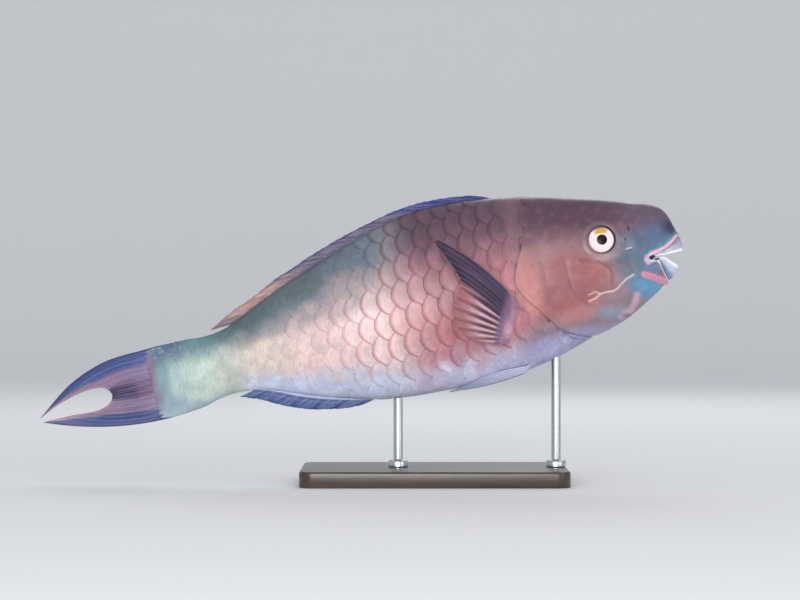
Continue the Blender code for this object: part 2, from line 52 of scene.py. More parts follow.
CAMERA_LENS, CAMERA_SENSOR, CAMERA_SEES = 113.2, 36.0, 20.0
FLOOR_COLOUR = (0.86, 0.86, 0.87, 1)
FLOOR_HALF, FLOOR_BACK, WALL_HIGH, SWEEP, SWEEP_STEPS = 4.0, 3.0, 3.2, 1.0, 12
AIR_COLOUR, AIR_STRENGTH = (0.92, 0.95, 1.0, 1), 0.62
# Each lamp's name, place, aim, width in metres, watts and colour
LAMPS = (
    ("key_lamp", (-0.45, -2.0, 0.30), (0, 0, 0.13), 1.2, 11, (1.0, 0.99, 0.98)),
    ("side_lamp", (1.3, -1.2, 0.35), (0.1, 0, 0.13), 0.8, 3.5, (0.97, 0.98, 1.0)),
    ("low_lamp", (-0.1, -2.0, 0.08), (0, 0, 0.12), 1.0, 25, (0.97, 0.98, 1.0)),
    ("back_lamp", (0.2, 1.4, 1.2), (0, 0, 0.16), 1.0, 6, (0.97, 0.98, 1.0)),
)


def add_piece(name, mesh):
    """The bmesh as a named object at the origin, smooth, with its place in its mesh."""
    data = bpy.data.meshes.new(name)
    mesh.to_mesh(data)
    mesh.free()
    data.shade_smooth()
    piece = bpy.data.objects.new(name, data)
    bpy.context.collection.objects.link(piece)
    return piece


class Finish:
    """A material as it is mixed; numbers that are the same all over stay on the shader's sockets."""

    def __init__(self, name, roughness, **values):
        self.material = bpy.data.materials.new(name)
        self.material.use_nodes = True
        self.tree = self.material.node_tree
        self.shader = self.tree.nodes["Principled BSDF"]
        self.feed(self.shader, Roughness=roughness, **values)

    def put(self, socket, value):
        """Give a socket a value or a link."""
        if isinstance(value, bpy.types.NodeSocket):
            self.tree.links.new(value, socket)
        else:
            socket.default_value = value

    def feed(self, node, **inputs):
        """Give each named input a value or a link; an underscore in a name stands for a space."""
        for name, value in inputs.items():
            self.put(node.inputs[name.replace("_", " ")], value)

    def add(self, kind, **inputs):
        """A new node with its inputs fed."""
        node = self.tree.nodes.new("ShaderNode" + kind)
        self.feed(node, **inputs)
        return node

    def place(self):
        """Places on the object, in metres."""
        return self.add("TexCoord").outputs["Object"]

    def stretch(self, source, scale, turn=(0, 0, 0)):
        """Coordinates made this many times larger along each direction, after a turn."""
        return self.add("Mapping", Vector=source, Scale=scale, Rotation=turn).outputs["Vector"]

    def noise(self, source, scale, detail=4.0, roughness=0.55):
        """A noise pattern read from the given coordinates."""
        node = self.add("TexNoise", Vector=source, Scale=scale, Detail=detail, Roughness=roughness)
        return node.outputs["Fac"]

    def ramp(self, factor, *stops):
        """Colours along a pattern; each stop is a place and a colour."""
        ramp = self.add("ValToRGB", Fac=factor)
        while len(ramp.color_ramp.elements) < len(stops):
            ramp.color_ramp.elements.new(0.5)
        for element, (place, colour) in zip(ramp.color_ramp.elements, stops):
            element.position = place
            element.color = (*colour, 1)
        return ramp.outputs["Color"]

    def read(self, name, output):
        """What the mesh carries under this name."""
        reader = self.add("Attribute")
        reader.attribute_name = name
        return reader.outputs[output]

    def times(self, first, second, amount=1.0):
        """One colour multiplied by another, as strongly as the amount says."""
        mixer = self.add("Mix")
        mixer.data_type, mixer.blend_type = "RGBA", "MULTIPLY"
        for index, value in ((0, amount), (6, first), (7, second)):
            self.put(mixer.inputs[index], value)
        return mixer.outputs[2]

    def paint(self, *patterns):
        """The colours that the mesh carries, multiplied by each pattern in turn."""
        colour = self.read("paint", "Color")
        for pattern in patterns:
            colour = self.times(colour, pattern)
        return colour

    def sum(self, operation, *values):
        """A sum worked on patterns, by the name of its operation."""
        node = self.add("Math")
        node.operation = operation
        for socket, value in zip(node.inputs, values):
            self.put(socket, value)
        return node.outputs[0]

    def colour(self, value):
        self.feed(self.shader, Base_Color=value)

    def bump(self, height, strength, depth):
        """Fine relief from a pattern, depth in metres."""
        relief = self.add("Bump", Height=height, Strength=strength, Distance=depth)
        self.feed(self.shader, Normal=relief.outputs["Normal"])


def studio():
    """Floor and backdrop in one swept sheet, the lamps and the camera."""
    mesh = bmesh.new()
    profile = [(-FLOOR_HALF, 0.0), (FLOOR_BACK, 0.0)]
    for step in range(1, SWEEP_STEPS + 1):
        turn = math.pi / 2 * step / SWEEP_STEPS
        profile.append((FLOOR_BACK + SWEEP * math.sin(turn), SWEEP * (1 - math.cos(turn))))
    profile.append((FLOOR_BACK + SWEEP, WALL_HIGH))
    line = [mesh.verts.new((-FLOOR_HALF, y, z)) for y, z in profile]
    edges = [mesh.edges.new(pair) for pair in zip(line, line[1:])]
    pushed = bmesh.ops.extrude_edge_only(mesh, edges=edges)["geom"]
    moved = [v for v in pushed if isinstance(v, bmesh.types.BMVert)]
    bmesh.ops.translate(mesh, vec=(2 * FLOOR_HALF, 0, 0), verts=moved)
    floor = add_piece("studio_floor", mesh)
    floor.data.materials.append(Finish("studio_paper", 0.9, Base_Color=FLOOR_COLOUR).material)

    for name, place, aim, width, watts, colour in LAMPS:
        data = bpy.data.lights.new(name, "AREA")
        data.shape, data.size, data.energy, data.color = "DISK", width, watts, colour
        light = bpy.data.objects.new(name, data)
        light.location = place
        light.rotation_euler = (Vector(aim) - Vector(place)).to_track_quat("-Z", "Y").to_euler()
        bpy.context.collection.objects.link(light)

    world = bpy.data.worlds.new("studio_air")
    world.use_nodes = True
    air = world.node_tree.nodes["Background"]
    air.inputs[0].default_value, air.inputs[1].default_value = AIR_COLOUR, AIR_STRENGTH
    bpy.context.scene.world = world

    eye = bpy.data.cameras.new("camera")
    eye.lens, eye.sensor_width, eye.clip_end = CAMERA_LENS, CAMERA_SENSOR, CAMERA_SEES
    camera = bpy.data.objects.new("camera", eye)
    camera.location = CAMERA_AIM + Vector((0, -CAMERA_AWAY, 0))
    camera.rotation_euler = (math.pi / 2, 0, 0)
    bpy.context.collection.objects.link(camera)
    bpy.context.scene.camera = camera
    bpy.context.scene.view_settings.view_transform = "Standard"


studio()

# Stand base
# A plate of dark-stained hardwood with rounded corners and a softly rounded top edge, satin varnished.
# It lies on the floor and carries both rods.
# Each rounding's radius and steps
BASE_CORNER, BASE_TOP_EDGE, BASE_FOOT_EDGE = (0.010, 12), (0.0016, 5), (0.0006, 2)


def stand_base():
    low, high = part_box("stand_base")
    mesh = bmesh.new()
    bmesh.ops.create_cube(mesh, size=1.0)
    bmesh.ops.scale(mesh, vec=high - low, verts=mesh.verts)
    bmesh.ops.translate(mesh, vec=(high + low) / 2, verts=mesh.verts)

    def round_off(radius, segments, chosen):
        edges = [e for e in mesh.edges if chosen(*[v.co.z for v in e.verts])]
        bmesh.ops.bevel(
            mesh, geom=edges, offset=radius, segments=segments, profile=0.5, affect="EDGES", material=-1
        )

    round_off(*BASE_CORNER, lambda a, b: abs(a - b) > 1e-3)
    round_off(*BASE_TOP_EDGE, lambda a, b: min(a, b) > high.z - 1e-6)
    round_off(*BASE_FOOT_EDGE, lambda a, b: max(a, b) < low.z + 1e-6)
    piece = add_piece("base_plate", mesh)
    piece.data.set_sharp_from_angle(angle=math.radians(40))

    wood = Finish("dark_stained_wood", 0.36, Coat_Weight=0.25, Coat_Roughness=0.2)
    along_grain = wood.stretch(wood.place(), (6.0, 55.0, 55.0))
    grain = wood.noise(along_grain, 1.6, 8.0, 0.65)
    dark, brown, light = (0.018, 0.010, 0.007), (0.050, 0.028, 0.018), (0.095, 0.055, 0.034)
    wood.colour(wood.ramp(grain, (0.3, dark), (0.52, brown), (0.75, light)))
    pores = wood.noise(along_grain, 9.0, 3.0)
    wood.bump(pores, 0.25, 0.0003)
    piece.data.materials.append(wood.material)
    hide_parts("stand_base")
    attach(piece, "root")


stand_base()

# Skin
# One unbroken cast skin over head, trunk and tail stalk, thin and wet-looking, painted by hand.
# It rolls into the lips and the mouth, and folds under at the free edge of each gill cover.

# The fish is measured in millimetres: back from its beak tip, out from its mid plane, up from its axis.
# Each station gives the height of the back and of the belly and the half width there.
NOSE_UP = math.radians(14.7)
BEAK_TIP = (0.1860, 0.0, 0.1735)
MM = 0.001
STATIONS = (
    (-2.5, 7.0, 7.0, 0.0),
    (-2.2, 12.0, 2.5, 4.0),
    (-1.2, 16.0, -0.5, 6.5),
    (0.2, 22.5, -3.5, 8.4),
    (2.5, 30.5, -7.2, 10.2),
    (6.0, 36.3, -11.8, 12.0),
    (11.0, 40.1, -16.5, 13.6),
    (18.0, 43.4, -20.7, 15.7),
    (27.0, 46.2, -25.9, 17.9),
    (38.0, 50.7, -31.6, 20.2),
    (50.0, 55.0, -37.4, 22.3),
    (65.0, 59.7, -42.0, 24.6),
    (80.0, 64.4, -45.6, 26.8),
    (100.0, 70.8, -51.0, 28.8),
    (122.0, 76.0, -55.6, 30.2),
    (145.0, 79.8, -57.8, 31.2),
    (170.0, 82.0, -58.2, 31.6),
    (198.0, 80.8, -56.0, 30.8),
    (225.0, 75.2, -53.8, 28.8),
    (250.0, 68.0, -49.6, 26.0),
    (275.0, 60.0, -42.0, 22.4),
    (300.0, 51.6, -33.0, 18.4),
    (325.0, 41.4, -22.4, 14.6),
    (345.0, 33.4, -18.3, 11.8),
    (362.0, 31.2, -18.8, 9.6),
    (380.0, 32.2, -22.4, 7.4),
    (400.0, 32.5, -22.9, 5.2),
)
WIDEST, BACK_POWER, BELLY_POWER = 0.47, 1.95, 2.2
STALK_THINS_FROM, STALK_THINS_OVER, STALK_END_LOWER = 396.0, 9.5, 1.5
GILL_EDGE = ((96, 92), (100, 74), (107, 58), (112.5, 44), (117, 32.5), (122, 24), (125.8, 15.5),
             (127, 7.5), (124.5, 0), (120, -7), (114.5, -15), (108.5, -24), (102, -33), (95, -39.8),
             (86, -44.5), (74, -52), (68, -66))


def smooth_rows(rows, steps):
    """The rows joined by one smooth curve, with this many steps from each to the next."""
    rows = np.array(rows, float)
    rows = np.vstack([2 * rows[0] - rows[1], rows, 2 * rows[-1] - rows[-2]])
    curve = []
    for a, b, c, d in zip(rows, rows[1:], rows[2:], rows[3:]):
        for t in np.arange(steps) / steps:
            bend = (2 * a - 5 * b + 4 * c - d) * t**2 + (3 * b - a - 3 * c + d) * t**3
            curve.append(b + 0.5 * ((c - a) * t + bend))
    curve.append(rows[-2])
    return np.array(curve)


BODY_CURVE = smooth_rows(STATIONS, 24)


def body_at(back):
    """Height of the back, height of the belly and half width, this far back."""
    return [np.interp(back, BODY_CURVE[:, 0], BODY_CURVE[:, i]) for i in (1, 2, 3)]


def skin_at(back, turn):
    """Points (back, side, height) of the bare body, at angles from the back round by the left side."""
    top, belly, half = body_at(back)
    past = np.maximum(back - STALK_THINS_FROM, 0) / STALK_THINS_OVER
    half = half * np.exp(-(past**2))
    lower = STALK_END_LOWER * np.clip(past / 1.5, 0, 1) ** 2
    top, belly = top - lower, belly + lower
    middle = belly + WIDEST * (top - belly)
    up, side = np.cos(turn), np.sin(turn)
    power = np.where(up > 0, BACK_POWER, BELLY_POWER)
    reach = np.where(up > 0, top - middle, middle - belly)
    out = half * np.sign(side) * np.abs(side) ** (2 / power)
    return np.stack([back + 0 * out, out, middle + reach * np.sign(up) * np.abs(up) ** (2 / power)], -1)


def turn_of(back, height):
    """The angle from the back, on the left side, at which the body has this height."""
    top, belly, _ = body_at(back)
    middle = belly + WIDEST * (top - belly)
    above = height > middle
    reach = np.maximum(np.where(above, top - middle, middle - belly), 1e-6)
    share = np.clip(np.abs(height - middle) / reach, 0, 1)
    up = np.where(above, 1, -1) * share ** (np.where(above, BACK_POWER, BELLY_POWER) / 2)
    return np.arccos(np.clip(up, -1, 1))


def flank(back, height):
    """Half width of the body at a height."""
    return skin_at(back, turn_of(back, height))[..., 1]


def outward(back, turn):
    """Unit normals of the bare body."""
    step = 0.5
    along = skin_at(back + step, turn) - skin_at(back - step, turn)
    around = skin_at(back, turn + 0.01) - skin_at(back, turn - 0.01)
    normal = np.cross(along, around)
    return normal / np.maximum(np.linalg.norm(normal, axis=-1, keepdims=True), 1e-9)


def in_place(points):
    """Fish measures (back, side, height) in millimetres as places in the scene, in metres."""
    back, side, height = points[..., 0], points[..., 1], points[..., 2]
    x = BEAK_TIP[0] - MM * (back * math.cos(NOSE_UP) + height * math.sin(NOSE_UP))
    z = BEAK_TIP[2] + MM * (height * math.cos(NOSE_UP) - back * math.sin(NOSE_UP))
    return np.stack([x, BEAK_TIP[1] + MM * side, z], -1)


def tone(red, green, blue):
    """A colour as the eye reads it, 0 to 255, as the linear light that materials take."""
    seen = np.array([red, green, blue]) / 255
    return np.where(seen < 0.04045, seen / 12.92, ((seen + 0.055) / 1.055) ** 2.4)


def ease(value, start, end):
    """A smooth rise from 0 at start to 1 at end."""
    share = np.clip((value - start) / (end - start), 0, 1)
    return share * share * (3 - 2 * share)


def between(value, start, full, fade, end):
    """A smooth rise from 0 at start to 1 at full, and a fall from 1 at fade to 0 at end."""
    return ease(value, start, full) * (1 - ease(value, fade, end))


def oval_reach(back, height, centre, radii, tilt=0.0):
    """Reach in an oval on the flank: 0 at its centre, 1 on its edge; tilt in degrees, nose side up."""
    turn = math.radians(tilt)
    x, z = back - centre[0], height - centre[1]
    along = x * math.cos(turn) - z * math.sin(turn)
    across = x * math.sin(turn) + z * math.cos(turn)
    return np.hypot(along / radii[0], across / radii[1])


def patch(back, height, centre, radii, soft=0.45, tilt=0.0):
    """1 inside an oval on the flank, fading to 0 outside it."""
    return 1 - ease(oval_reach(back, height, centre, radii, tilt), 1 - soft, 1 + soft)


def line_distance(back, height, line):
    """Distance in the side view from a line of points."""
    best = np.full(np.shape(back), 1e9)
    for (x0, z0), (x1, z1) in zip(line, line[1:]):
        run = np.array([x1 - x0, z1 - z0], float)
        share = np.clip(((back - x0) * run[0] + (height - z0) * run[1]) / (run @ run), 0, 1)
        best = np.minimum(best, np.hypot(back - x0 - share * run[0], height - z0 - share * run[1]))
    return best


def mottle(back, height, size, seed=0.0):
    """A cheap, even, cloud-like value from -1 to 1, with blotches about this many millimetres across."""
    x, z = back / size, height / size
    value = np.sin(1.7 * x + 1.3 * np.sin(1.1 * z + seed))
    value = value + np.sin(2.1 * z - 1.2 * np.sin(0.9 * x + 2 * seed))
    value = value + np.sin(1.3 * x + 1.9 * z + 3 * seed) * 0.7
    return value / 2.7


def side_view(back, height):
    """For places in the side view: how far they are inside a soft oval, and how near to a line."""

    def oval(*shape):
        return patch(back, height, *shape)

    def near(line, start, end):
        return 1 - ease(line_distance(back, height, line), start, end)

    return oval, near


def painter(colour):
    """Lays a wash of a shade over these colours, as strongly as its amount says."""

    def wash(shade, amount):
        colour[...] = colour + (tone(*shade) - colour) * np.clip(amount, 0, 1)[..., None]

    return wash


def layered(base, *layers):
    """Base colours with (shade, amount) washes laid over them in order."""
    colour = np.zeros(layers[0][1].shape + (3,)) + base
    wash = painter(colour)
    for shade, amount in layers:
        wash(shade, amount)
    return colour


CHEEK_SCRATCH = ((39.8, -6.3), (43.5, -7.6), (46, -8.2), (50, -10.5), (54.5, -13.6), (58, -14.6),
                 (63, -13.9), (68, -14.2), (72, -16.2), (77.5, -17.4))
CHEEK_SCRATCH_FORK = ((68, -14.2), (71, -11.6), (76.5, -12.6))
CHEEK_PLATE = ((77, 13.5), (68, 11), (61.4, 8), (57, 3.5), (56, -0.6), (58, -9))
MOUTH_CREASE = ((50.6, 6), (45, 4), (40.9, 0.5), (39.8, -5))
# Dark red lines of painted shade along the cheek plates' edges and creases: each line, its width, its
# strength
CHEEK_CREASE_SHADE = ((CHEEK_PLATE, 2.6, 0.55),
                (MOUTH_CREASE, 2.2, 0.50),
                (((87, 9), (88.2, 1), (86.5, -9), (80, -19)), 2.4, 0.44),
                (((104, 16), (105, 6), (103, -4), (98, -13)), 6.0, 0.12))
EYE_PLACE, EYE_RADIUS = (56.6, 24.7), 11.0
NOSTRILS = (((34.2, 28.6), (1.2, 1.9)), ((38.9, 20.6), (0.8, 1.3)))
CHIN_SMUDGE = ((41, -22), (43.5, -27), (47.5, -32), (56, -34.5))
THROAT_FOLD = ((105, -31.5), (98, -36.5), (90, -40.5), (80, -45), (74, -48.5))


def body_paint(back, height):
    """Linear colours of skin and scales from their place in the side view."""
    top, belly, _ = body_at(back)
    middle = belly + WIDEST * (top - belly)
    rise = (height - middle) / np.maximum(np.where(height > middle, top - middle, middle - belly), 1.0)
    uneven = mottle(back, height, 14.0)
    rise = rise + 0.05 * uneven + 0.08 * mottle(back, height, 5.5, 3.0) * ease(back, 100, 140)
    colour = np.zeros(np.shape(back) + (3,)) + tone(206, 178, 175)
    wash = painter(colour)
    oval, near = side_view(back, height)
    trunk = ease(back, 95, 130)
    rear = ease(back, 190, 250)
    # Flank from deep rose behind the fin through pale rose to cream and mint on the stalk
    wash((170, 101, 108), 1 - ease(back + 0.25 * height, 182, 224))
    wash((182, 124, 128), oval((206, 12), (18, 28), 0.7) * 0.7)
    wash((150, 92, 100), oval((184, 20), (11, 15), 0.7) * 0.7)
    wash((224, 194, 190), oval((250, 3), (22, 28), 0.7) * 0.8)
    wash((213, 186, 181), ease(back, 258, 285))
    wash((204, 190, 178), ease(back, 290, 325))
    wash((176, 182, 170), ease(back, 326, 352))
    wash((175, 193, 181), ease(back, 350, 374))
    wash((138, 165, 168), ease(back + 5 * uneven, 378, 400))
    # Upper flank and back
    upper = ease(rise, 0.08, 0.46)
    wash((134, 90, 101), upper * trunk * (1 - ease(back, 192, 234)))
    wash((150, 136, 139), upper * rear * (1 - ease(back, 325, 356)))
    wash((138, 143, 139), ease(rise, 0.2, 0.52) * between(back, 258, 310, 335, 358) * 0.8)
    high = ease(rise, 0.36, 0.80)
    wash((86, 63, 79), high * trunk * (1 - ease(back, 192, 226)))
    wash((97, 112, 123), high * ease(back, 186, 230))
    wash((85, 99, 107), ease(rise, 0.42, 0.86) * ease(back, 225, 290))
    wash((77, 97, 100), ease(rise, 0.42, 0.86) * between(back, 290, 330, 340, 368))
    wash((98, 130, 135), ease(rise, 0.16, 0.84) * ease(back, 340, 370))
    wash((122, 98, 128), ease(back + 3 * mottle(back, height, 6.0, 1.0), 402, 412))
    dusky = oval((394, 28), (11, 6), 0.6)
    wash((74, 84, 130), dusky * (0.6 + 0.4 * mottle(back, height, 2.4, 4.0)))
    wash((196, 202, 216), dusky * ease(mottle(back, height, 1.1, 2.0), 0.5, 0.85) * 0.6)
    wash((170, 154, 154), oval((250, 37), (16, 12), 0.7) * 0.6)
    # Belly
    wash((172, 142, 154), (1 - ease(rise, -0.66, -0.30)) * trunk * (1 - ease(back, 184, 218)) * 0.8)
    wash((188, 193, 206), (1 - ease(rise, -0.74, -0.34)) * between(back, 196, 244, 326, 354))
    lowest = 1 - ease(rise, -0.94, -0.58)
    wash((194, 200, 218), lowest * ease(back, 60, 110) * (1 - rear))
    wash((198, 196, 224), lowest * ease(back, 150, 190) * (1 - rear) * 0.8)
    wash((198, 208, 232), lowest * between(back, 200, 250, 325, 352))
    # The tail stalk's underside: its own pale blue-green, darkened along the lower edge as painted shade
    wash((152, 172, 178), lowest * ease(back, 342, 370))
    wash((136, 156, 170), oval((401, -13), (14, 5), 0.8, -8) * 0.6)
    wash((140, 166, 160), oval((368, 17), (20, 5), 0.8, 12) * 0.5)

    # Head: crown, temple, cheek, gill cover, snout and chin
    head = 1 - ease(back + 0.15 * height, 112, 136)
    wash((138, 114, 122), head)
    wash((119, 84, 95), head * ease(rise, 0.20, 0.48))
    wash((82, 55, 73), head * ease(rise, 0.42, 0.70))
    wash((98, 78, 98), (1 - ease(back, 16, 44)) * ease(rise, 0.5, 0.7))
    wash((152, 90, 91), head * oval((94, 0), (36, 26), 0.4))
    wash((146, 84, 85), head * oval((90, -4), (24, 17), 0.5) * 0.8)
    wash((162, 92, 88), head * oval((66, 3), (11, 9), 0.7) * 0.6)
    wash((156, 114, 114), head * oval((106, 26), (12, 9), 0.7) * 0.7)
    wash((188, 122, 119), oval((119, 2), (9, 25), 0.5, -6) * (1 - ease(back, 121, 131)))
    cheek_foot = 1 - ease(height + 0.1 * back + 3 * uneven, -20, -10)
    wash((132, 114, 126), head * cheek_foot * ease(back, 34, 52))
    wash((182, 116, 112), oval((88, -25), (16, 6), 0.7, 8) * 0.7)
    wash((134, 150, 162), oval((62, -30), (11, 5), 0.7, -14) * 0.6)
    wash((154, 150, 188), head * (1 - ease(height + 3 * uneven, -42, -31)) * ease(back, 42, 62))
    wash((172, 174, 206), (1 - ease(height, -45, -34)) * between(back, 90, 106, 150, 176) * 0.6)
    wash((76, 94, 116), oval((34, 10), (18, 16), 0.6))
    wash((72, 94, 129), oval((9, 17), (18, 13), 0.7, -14))
    wash((38, 37, 80), oval((0, 22), (9, 9), 0.7))
    wash((96, 77, 96), oval((15, 36), (24, 8), 0.7, -12) * 0.9)
    wash((66, 106, 138), oval((14, 9.5), (16, 4), 0.8, 17) * 0.9)
    wash((80, 112, 126), oval((37, -7), (10, 13), 0.7) * 0.9)
    wash((88, 140, 176), oval((30, -20), (15, 8), 0.7, -30))
    wash((94, 152, 180), oval((26, -20), (9, 5), 0.8, -34) * 0.6)
    wash((206, 168, 190), near(CHIN_SMUDGE, 0.6, 4.2) * 0.75)
    wash((136, 118, 124), oval((55, -20), (10, 4.5), 0.8, -12) * 0.5)
    wash((86, 80, 128), oval((50, -36), (6, 1.6), 0.8, -24) * 0.7)
    wash((140, 127, 135), oval((50, 14), (9, 5), 0.7) * 0.5)
    wash((132, 134, 146), oval((42, 21), (5, 2), 0.9, -20) * 0.6)
    wash((126, 130, 144), oval((36, 15), (3.5, 4.5), 0.9) * 0.5)
    # Painted light below the eye, painted shade above it, and a mauve ring of painted shading on the lid
    # roll
    wash((196, 162, 160), oval((59, 11.5), (8, 2.8), 0.8) * 0.5)
    wash((76, 58, 76), oval((55, 38.5), (11, 3.0), 0.8, 4) * 0.6)
    from_eye = np.hypot(back - EYE_PLACE[0], height - EYE_PLACE[1])
    wash((146, 120, 132), (1 - ease(np.abs(from_eye - EYE_RADIUS - 2.2), 0.4, 1.8)) * 0.3)
    blotches = 0.6 * mottle(back, height, 3.2, 1.0) + 0.4 * mottle(back, height, 1.7, 5.0)
    wash((176, 132, 132), np.clip(blotches, 0, 1) * head * 0.18)
    wash((92, 72, 92), np.clip(-blotches, 0, 1) * head * 0.2)
    # Painted shade along the cheek's folds and creases
    for line, width, strength in CHEEK_CREASE_SHADE:
        wash((122, 66, 72), near(line, 0.2, width) * strength)
    # Painted shade inside the nostril hollows
    for centre, radii in NOSTRILS:
        wash((40, 28, 44), 1 - ease(oval_reach(back, height, centre, radii), 0.5, 1.3))
    # A small slit on the snout: a painted highlight along its upper lip and painted shade in it
    wash((206, 210, 222), near(((36.5, 13.4), (40.5, 13.2)), 0.2, 1.0) * 0.55)
    wash((58, 44, 66), near(((36.8, 12.0), (40.2, 11.8)), 0.2, 1.0) * 0.7)
    wash((238, 204, 194), near(CHEEK_SCRATCH, 0.1, 0.95) * 0.8)
    wash((238, 204, 194), near(CHEEK_SCRATCH_FORK, 0.1, 0.8) * 0.6)
    # Painted shade in the fold of the throat
    wash((84, 78, 118), near(THROAT_FOLD, 0.3, 1.3) * 0.75)
    return colour


HALF_COLUMNS, HEAD_ROWS, TRUNK_ROWS = 140, 102, 150
TRUNK_FIRST_SHARES, TRUNK_EVEN_FROM = (0, 0.004, 0.009, 0.015), 0.022
NOSE_START, NOSE_REACH, NOSE_MIDDLE = -2.5, 140.0, (-2.24, 12.3)
SPECKLE_SCALE, CLOUD_SCALE = 700.0, 112.0
LIP_LINE = ((-0.2, 12.35), (3, 10.2), (6.3, 8.3), (11.7, 6.1), (17, 4.9), (22, 4.2), (24.4, 3.5),
            (25, 2.4), (24.2, 1.2), (21, 0.1), (18.2, -0.9), (17.4, -3), (17.0, -6), (15.8, -11),
            (14.4, -15.6), (13.8, -17.4))
# How far the lip stands out, at each run back from the mouth's edge
LIP_ROLL = ((0, -0.7), (0.35, 0.05), (0.8, 0.5), (1.4, 0.85), (2.1, 0.95), (2.9, 0.75), (3.7, 0.35),
            (4.6, 0.05))
COAT_DEPTH = 0.9
FLAP_RISE, FLAP_REACH, FLAP_FOLD, FLAP_EDGE = 1.3, 16.0, 6.0, 0.42
MOUTH_END = (25.0, 0.0, -1.0)
MOUTH_SHARES = (1.0, 0.86, 0.72, 0.58, 0.44, 0.32, 0.21, 0.12, 0.05)
GILL_EDGE_ROWS = (7.0, 4.5, 2.6, 1.3, 0.5, 0.0)
NOSTRIL_RIM, NOSTRIL_DEPTH, LID_ROLL, LID_FOLD, SOCKET_DEPTH = 0.4, 1.6, 0.75, 0.16, 3.5
SKIN_END = 411.0
# The head's folds and hollows: how far each stands out, its width and its line
HEAD_FOLDS = (
    (-0.12, 6.0, ((104, 24), (106, 12), (105, 2), (100, -10), (96, -18))),
    (-0.20, 2.4, ((87, 14), (88.5, 4), (86.5, -8), (80, -19), (72, -26))),
    (0.10, 8.0, ((80, 12), (81.5, 2), (79, -9), (73, -18))),
    (0.30, 3.4, CHEEK_PLATE),
    (-0.12, 3.4, ((75, 10), (66, 7), (60.5, 3), (59.5, -3), (61, -9))),
    (0.30, 2.8, MOUTH_CREASE),
    (-0.30, 1.6, CHEEK_SCRATCH),
    (-0.20, 1.5, CHEEK_SCRATCH_FORK),
    (0.85, 3.4, ((33, -7.4), (24, -12.6), (15.3, -18.6))),
    (-0.6, 2.0, ((36, -10.8), (27, -17), (18.5, -22.5))),
    (-0.7, 2.0, ((25.8, 4.6), (28.4, 2.2), (28.2, -1.5))),
    (-0.7, 2.0, THROAT_FOLD),
    (0.45, 3.0, ((101, -37), (93, -42), (84, -46))),
    (-0.35, 0.9, ((35, 12.4), (41, 12.6))),
)


def arc_lengths(points):
    """Running length along a line of places."""
    steps = np.linalg.norm(np.diff(points, axis=0), axis=1)
    return np.concatenate([[0], np.cumsum(steps)])


def even(values, lengths, wanted):
    """Columns of values read at the wanted lengths."""
    return np.stack([np.interp(wanted, lengths, column) for column in np.atleast_2d(values)], -1)


def lip_loop():
    """(back, turn) along the left half of the mouth's edge, from the snout's mid line to the chin's."""
    line = smooth_rows(LIP_LINE, 12)
    front = np.linspace(NOSE_MIDDLE[0], LIP_LINE[0][0], 30)[:-1]
    chin = line[-1, 0] - 0.1
    front = np.stack([front, 0 * front + NOSE_MIDDLE[1]], 1)
    line = np.vstack([front, line, [[chin, body_at(chin)[1]]]])
    turn = turn_of(line[:, 0], line[:, 1])
    turn[0], turn[-1] = 0, math.pi
    lengths = arc_lengths(skin_at(line[:, 0], turn))
    return even([line[:, 0], turn], lengths, np.linspace(0, lengths[-1], HALF_COLUMNS + 1))


def gill_loop():
    """(back, turn) along the left gill cover's free edge, and on to the back and to the throat."""
    line = smooth_rows(GILL_EDGE, 12)
    top, belly, _ = body_at(line[:, 0])
    line = line[(line[:, 1] < top) & (line[:, 1] > belly)]
    turn = turn_of(line[:, 0], line[:, 1])
    line = np.vstack([line[:1], line, line[-1:]])
    turn = np.concatenate([[0], turn, [math.pi]])
    lengths = arc_lengths(skin_at(line[:, 0], turn))
    return even([line[:, 0], turn], lengths, np.linspace(0, lengths[-1], HALF_COLUMNS + 1))


def nose_length(back):
    """Length along the profile from the nose, so that rows stay even over the blunt snout."""
    stations = np.linspace(NOSE_START, NOSE_REACH, 2000)
    top, _, half = body_at(stations)
    return np.interp(back, stations, arc_lengths(np.stack([stations, 0.7 * top, half], 1))), stations


def head_relief(back, height):
    """How far the head's folds and hollows stand out from its plain form."""
    _, near = side_view(back, height)
    out = np.zeros(np.shape(back))
    for rise, width, line in HEAD_FOLDS:
        out += rise * near(line, 0, width)
    for centre, radii in NOSTRILS:
        reach = oval_reach(back, height, centre, radii)
        rim, hollow = 1 - ease(np.abs(reach - 1.6), 0, 0.9), 1 - ease(reach, 0.5, 1.25)
        out += NOSTRIL_RIM * rim - NOSTRIL_DEPTH * hollow
    away = np.hypot(back - EYE_PLACE[0], height - EYE_PLACE[1]) - EYE_RADIUS
    out += LID_ROLL * (1 - ease(np.abs(away - 1.3), 0, 3.2)) - SOCKET_DEPTH * (1 - ease(away, -3, 0.2))
    out += LID_FOLD * (1 - ease(np.abs(away - 5.6), 0, 1.6)) * ease(24 - height, -3, 6)
    out += 0.10 * mottle(back, height, 5.0, 2.0) + 0.04 * mottle(back, height * 0.35, 1.6, 5.0)
    return out


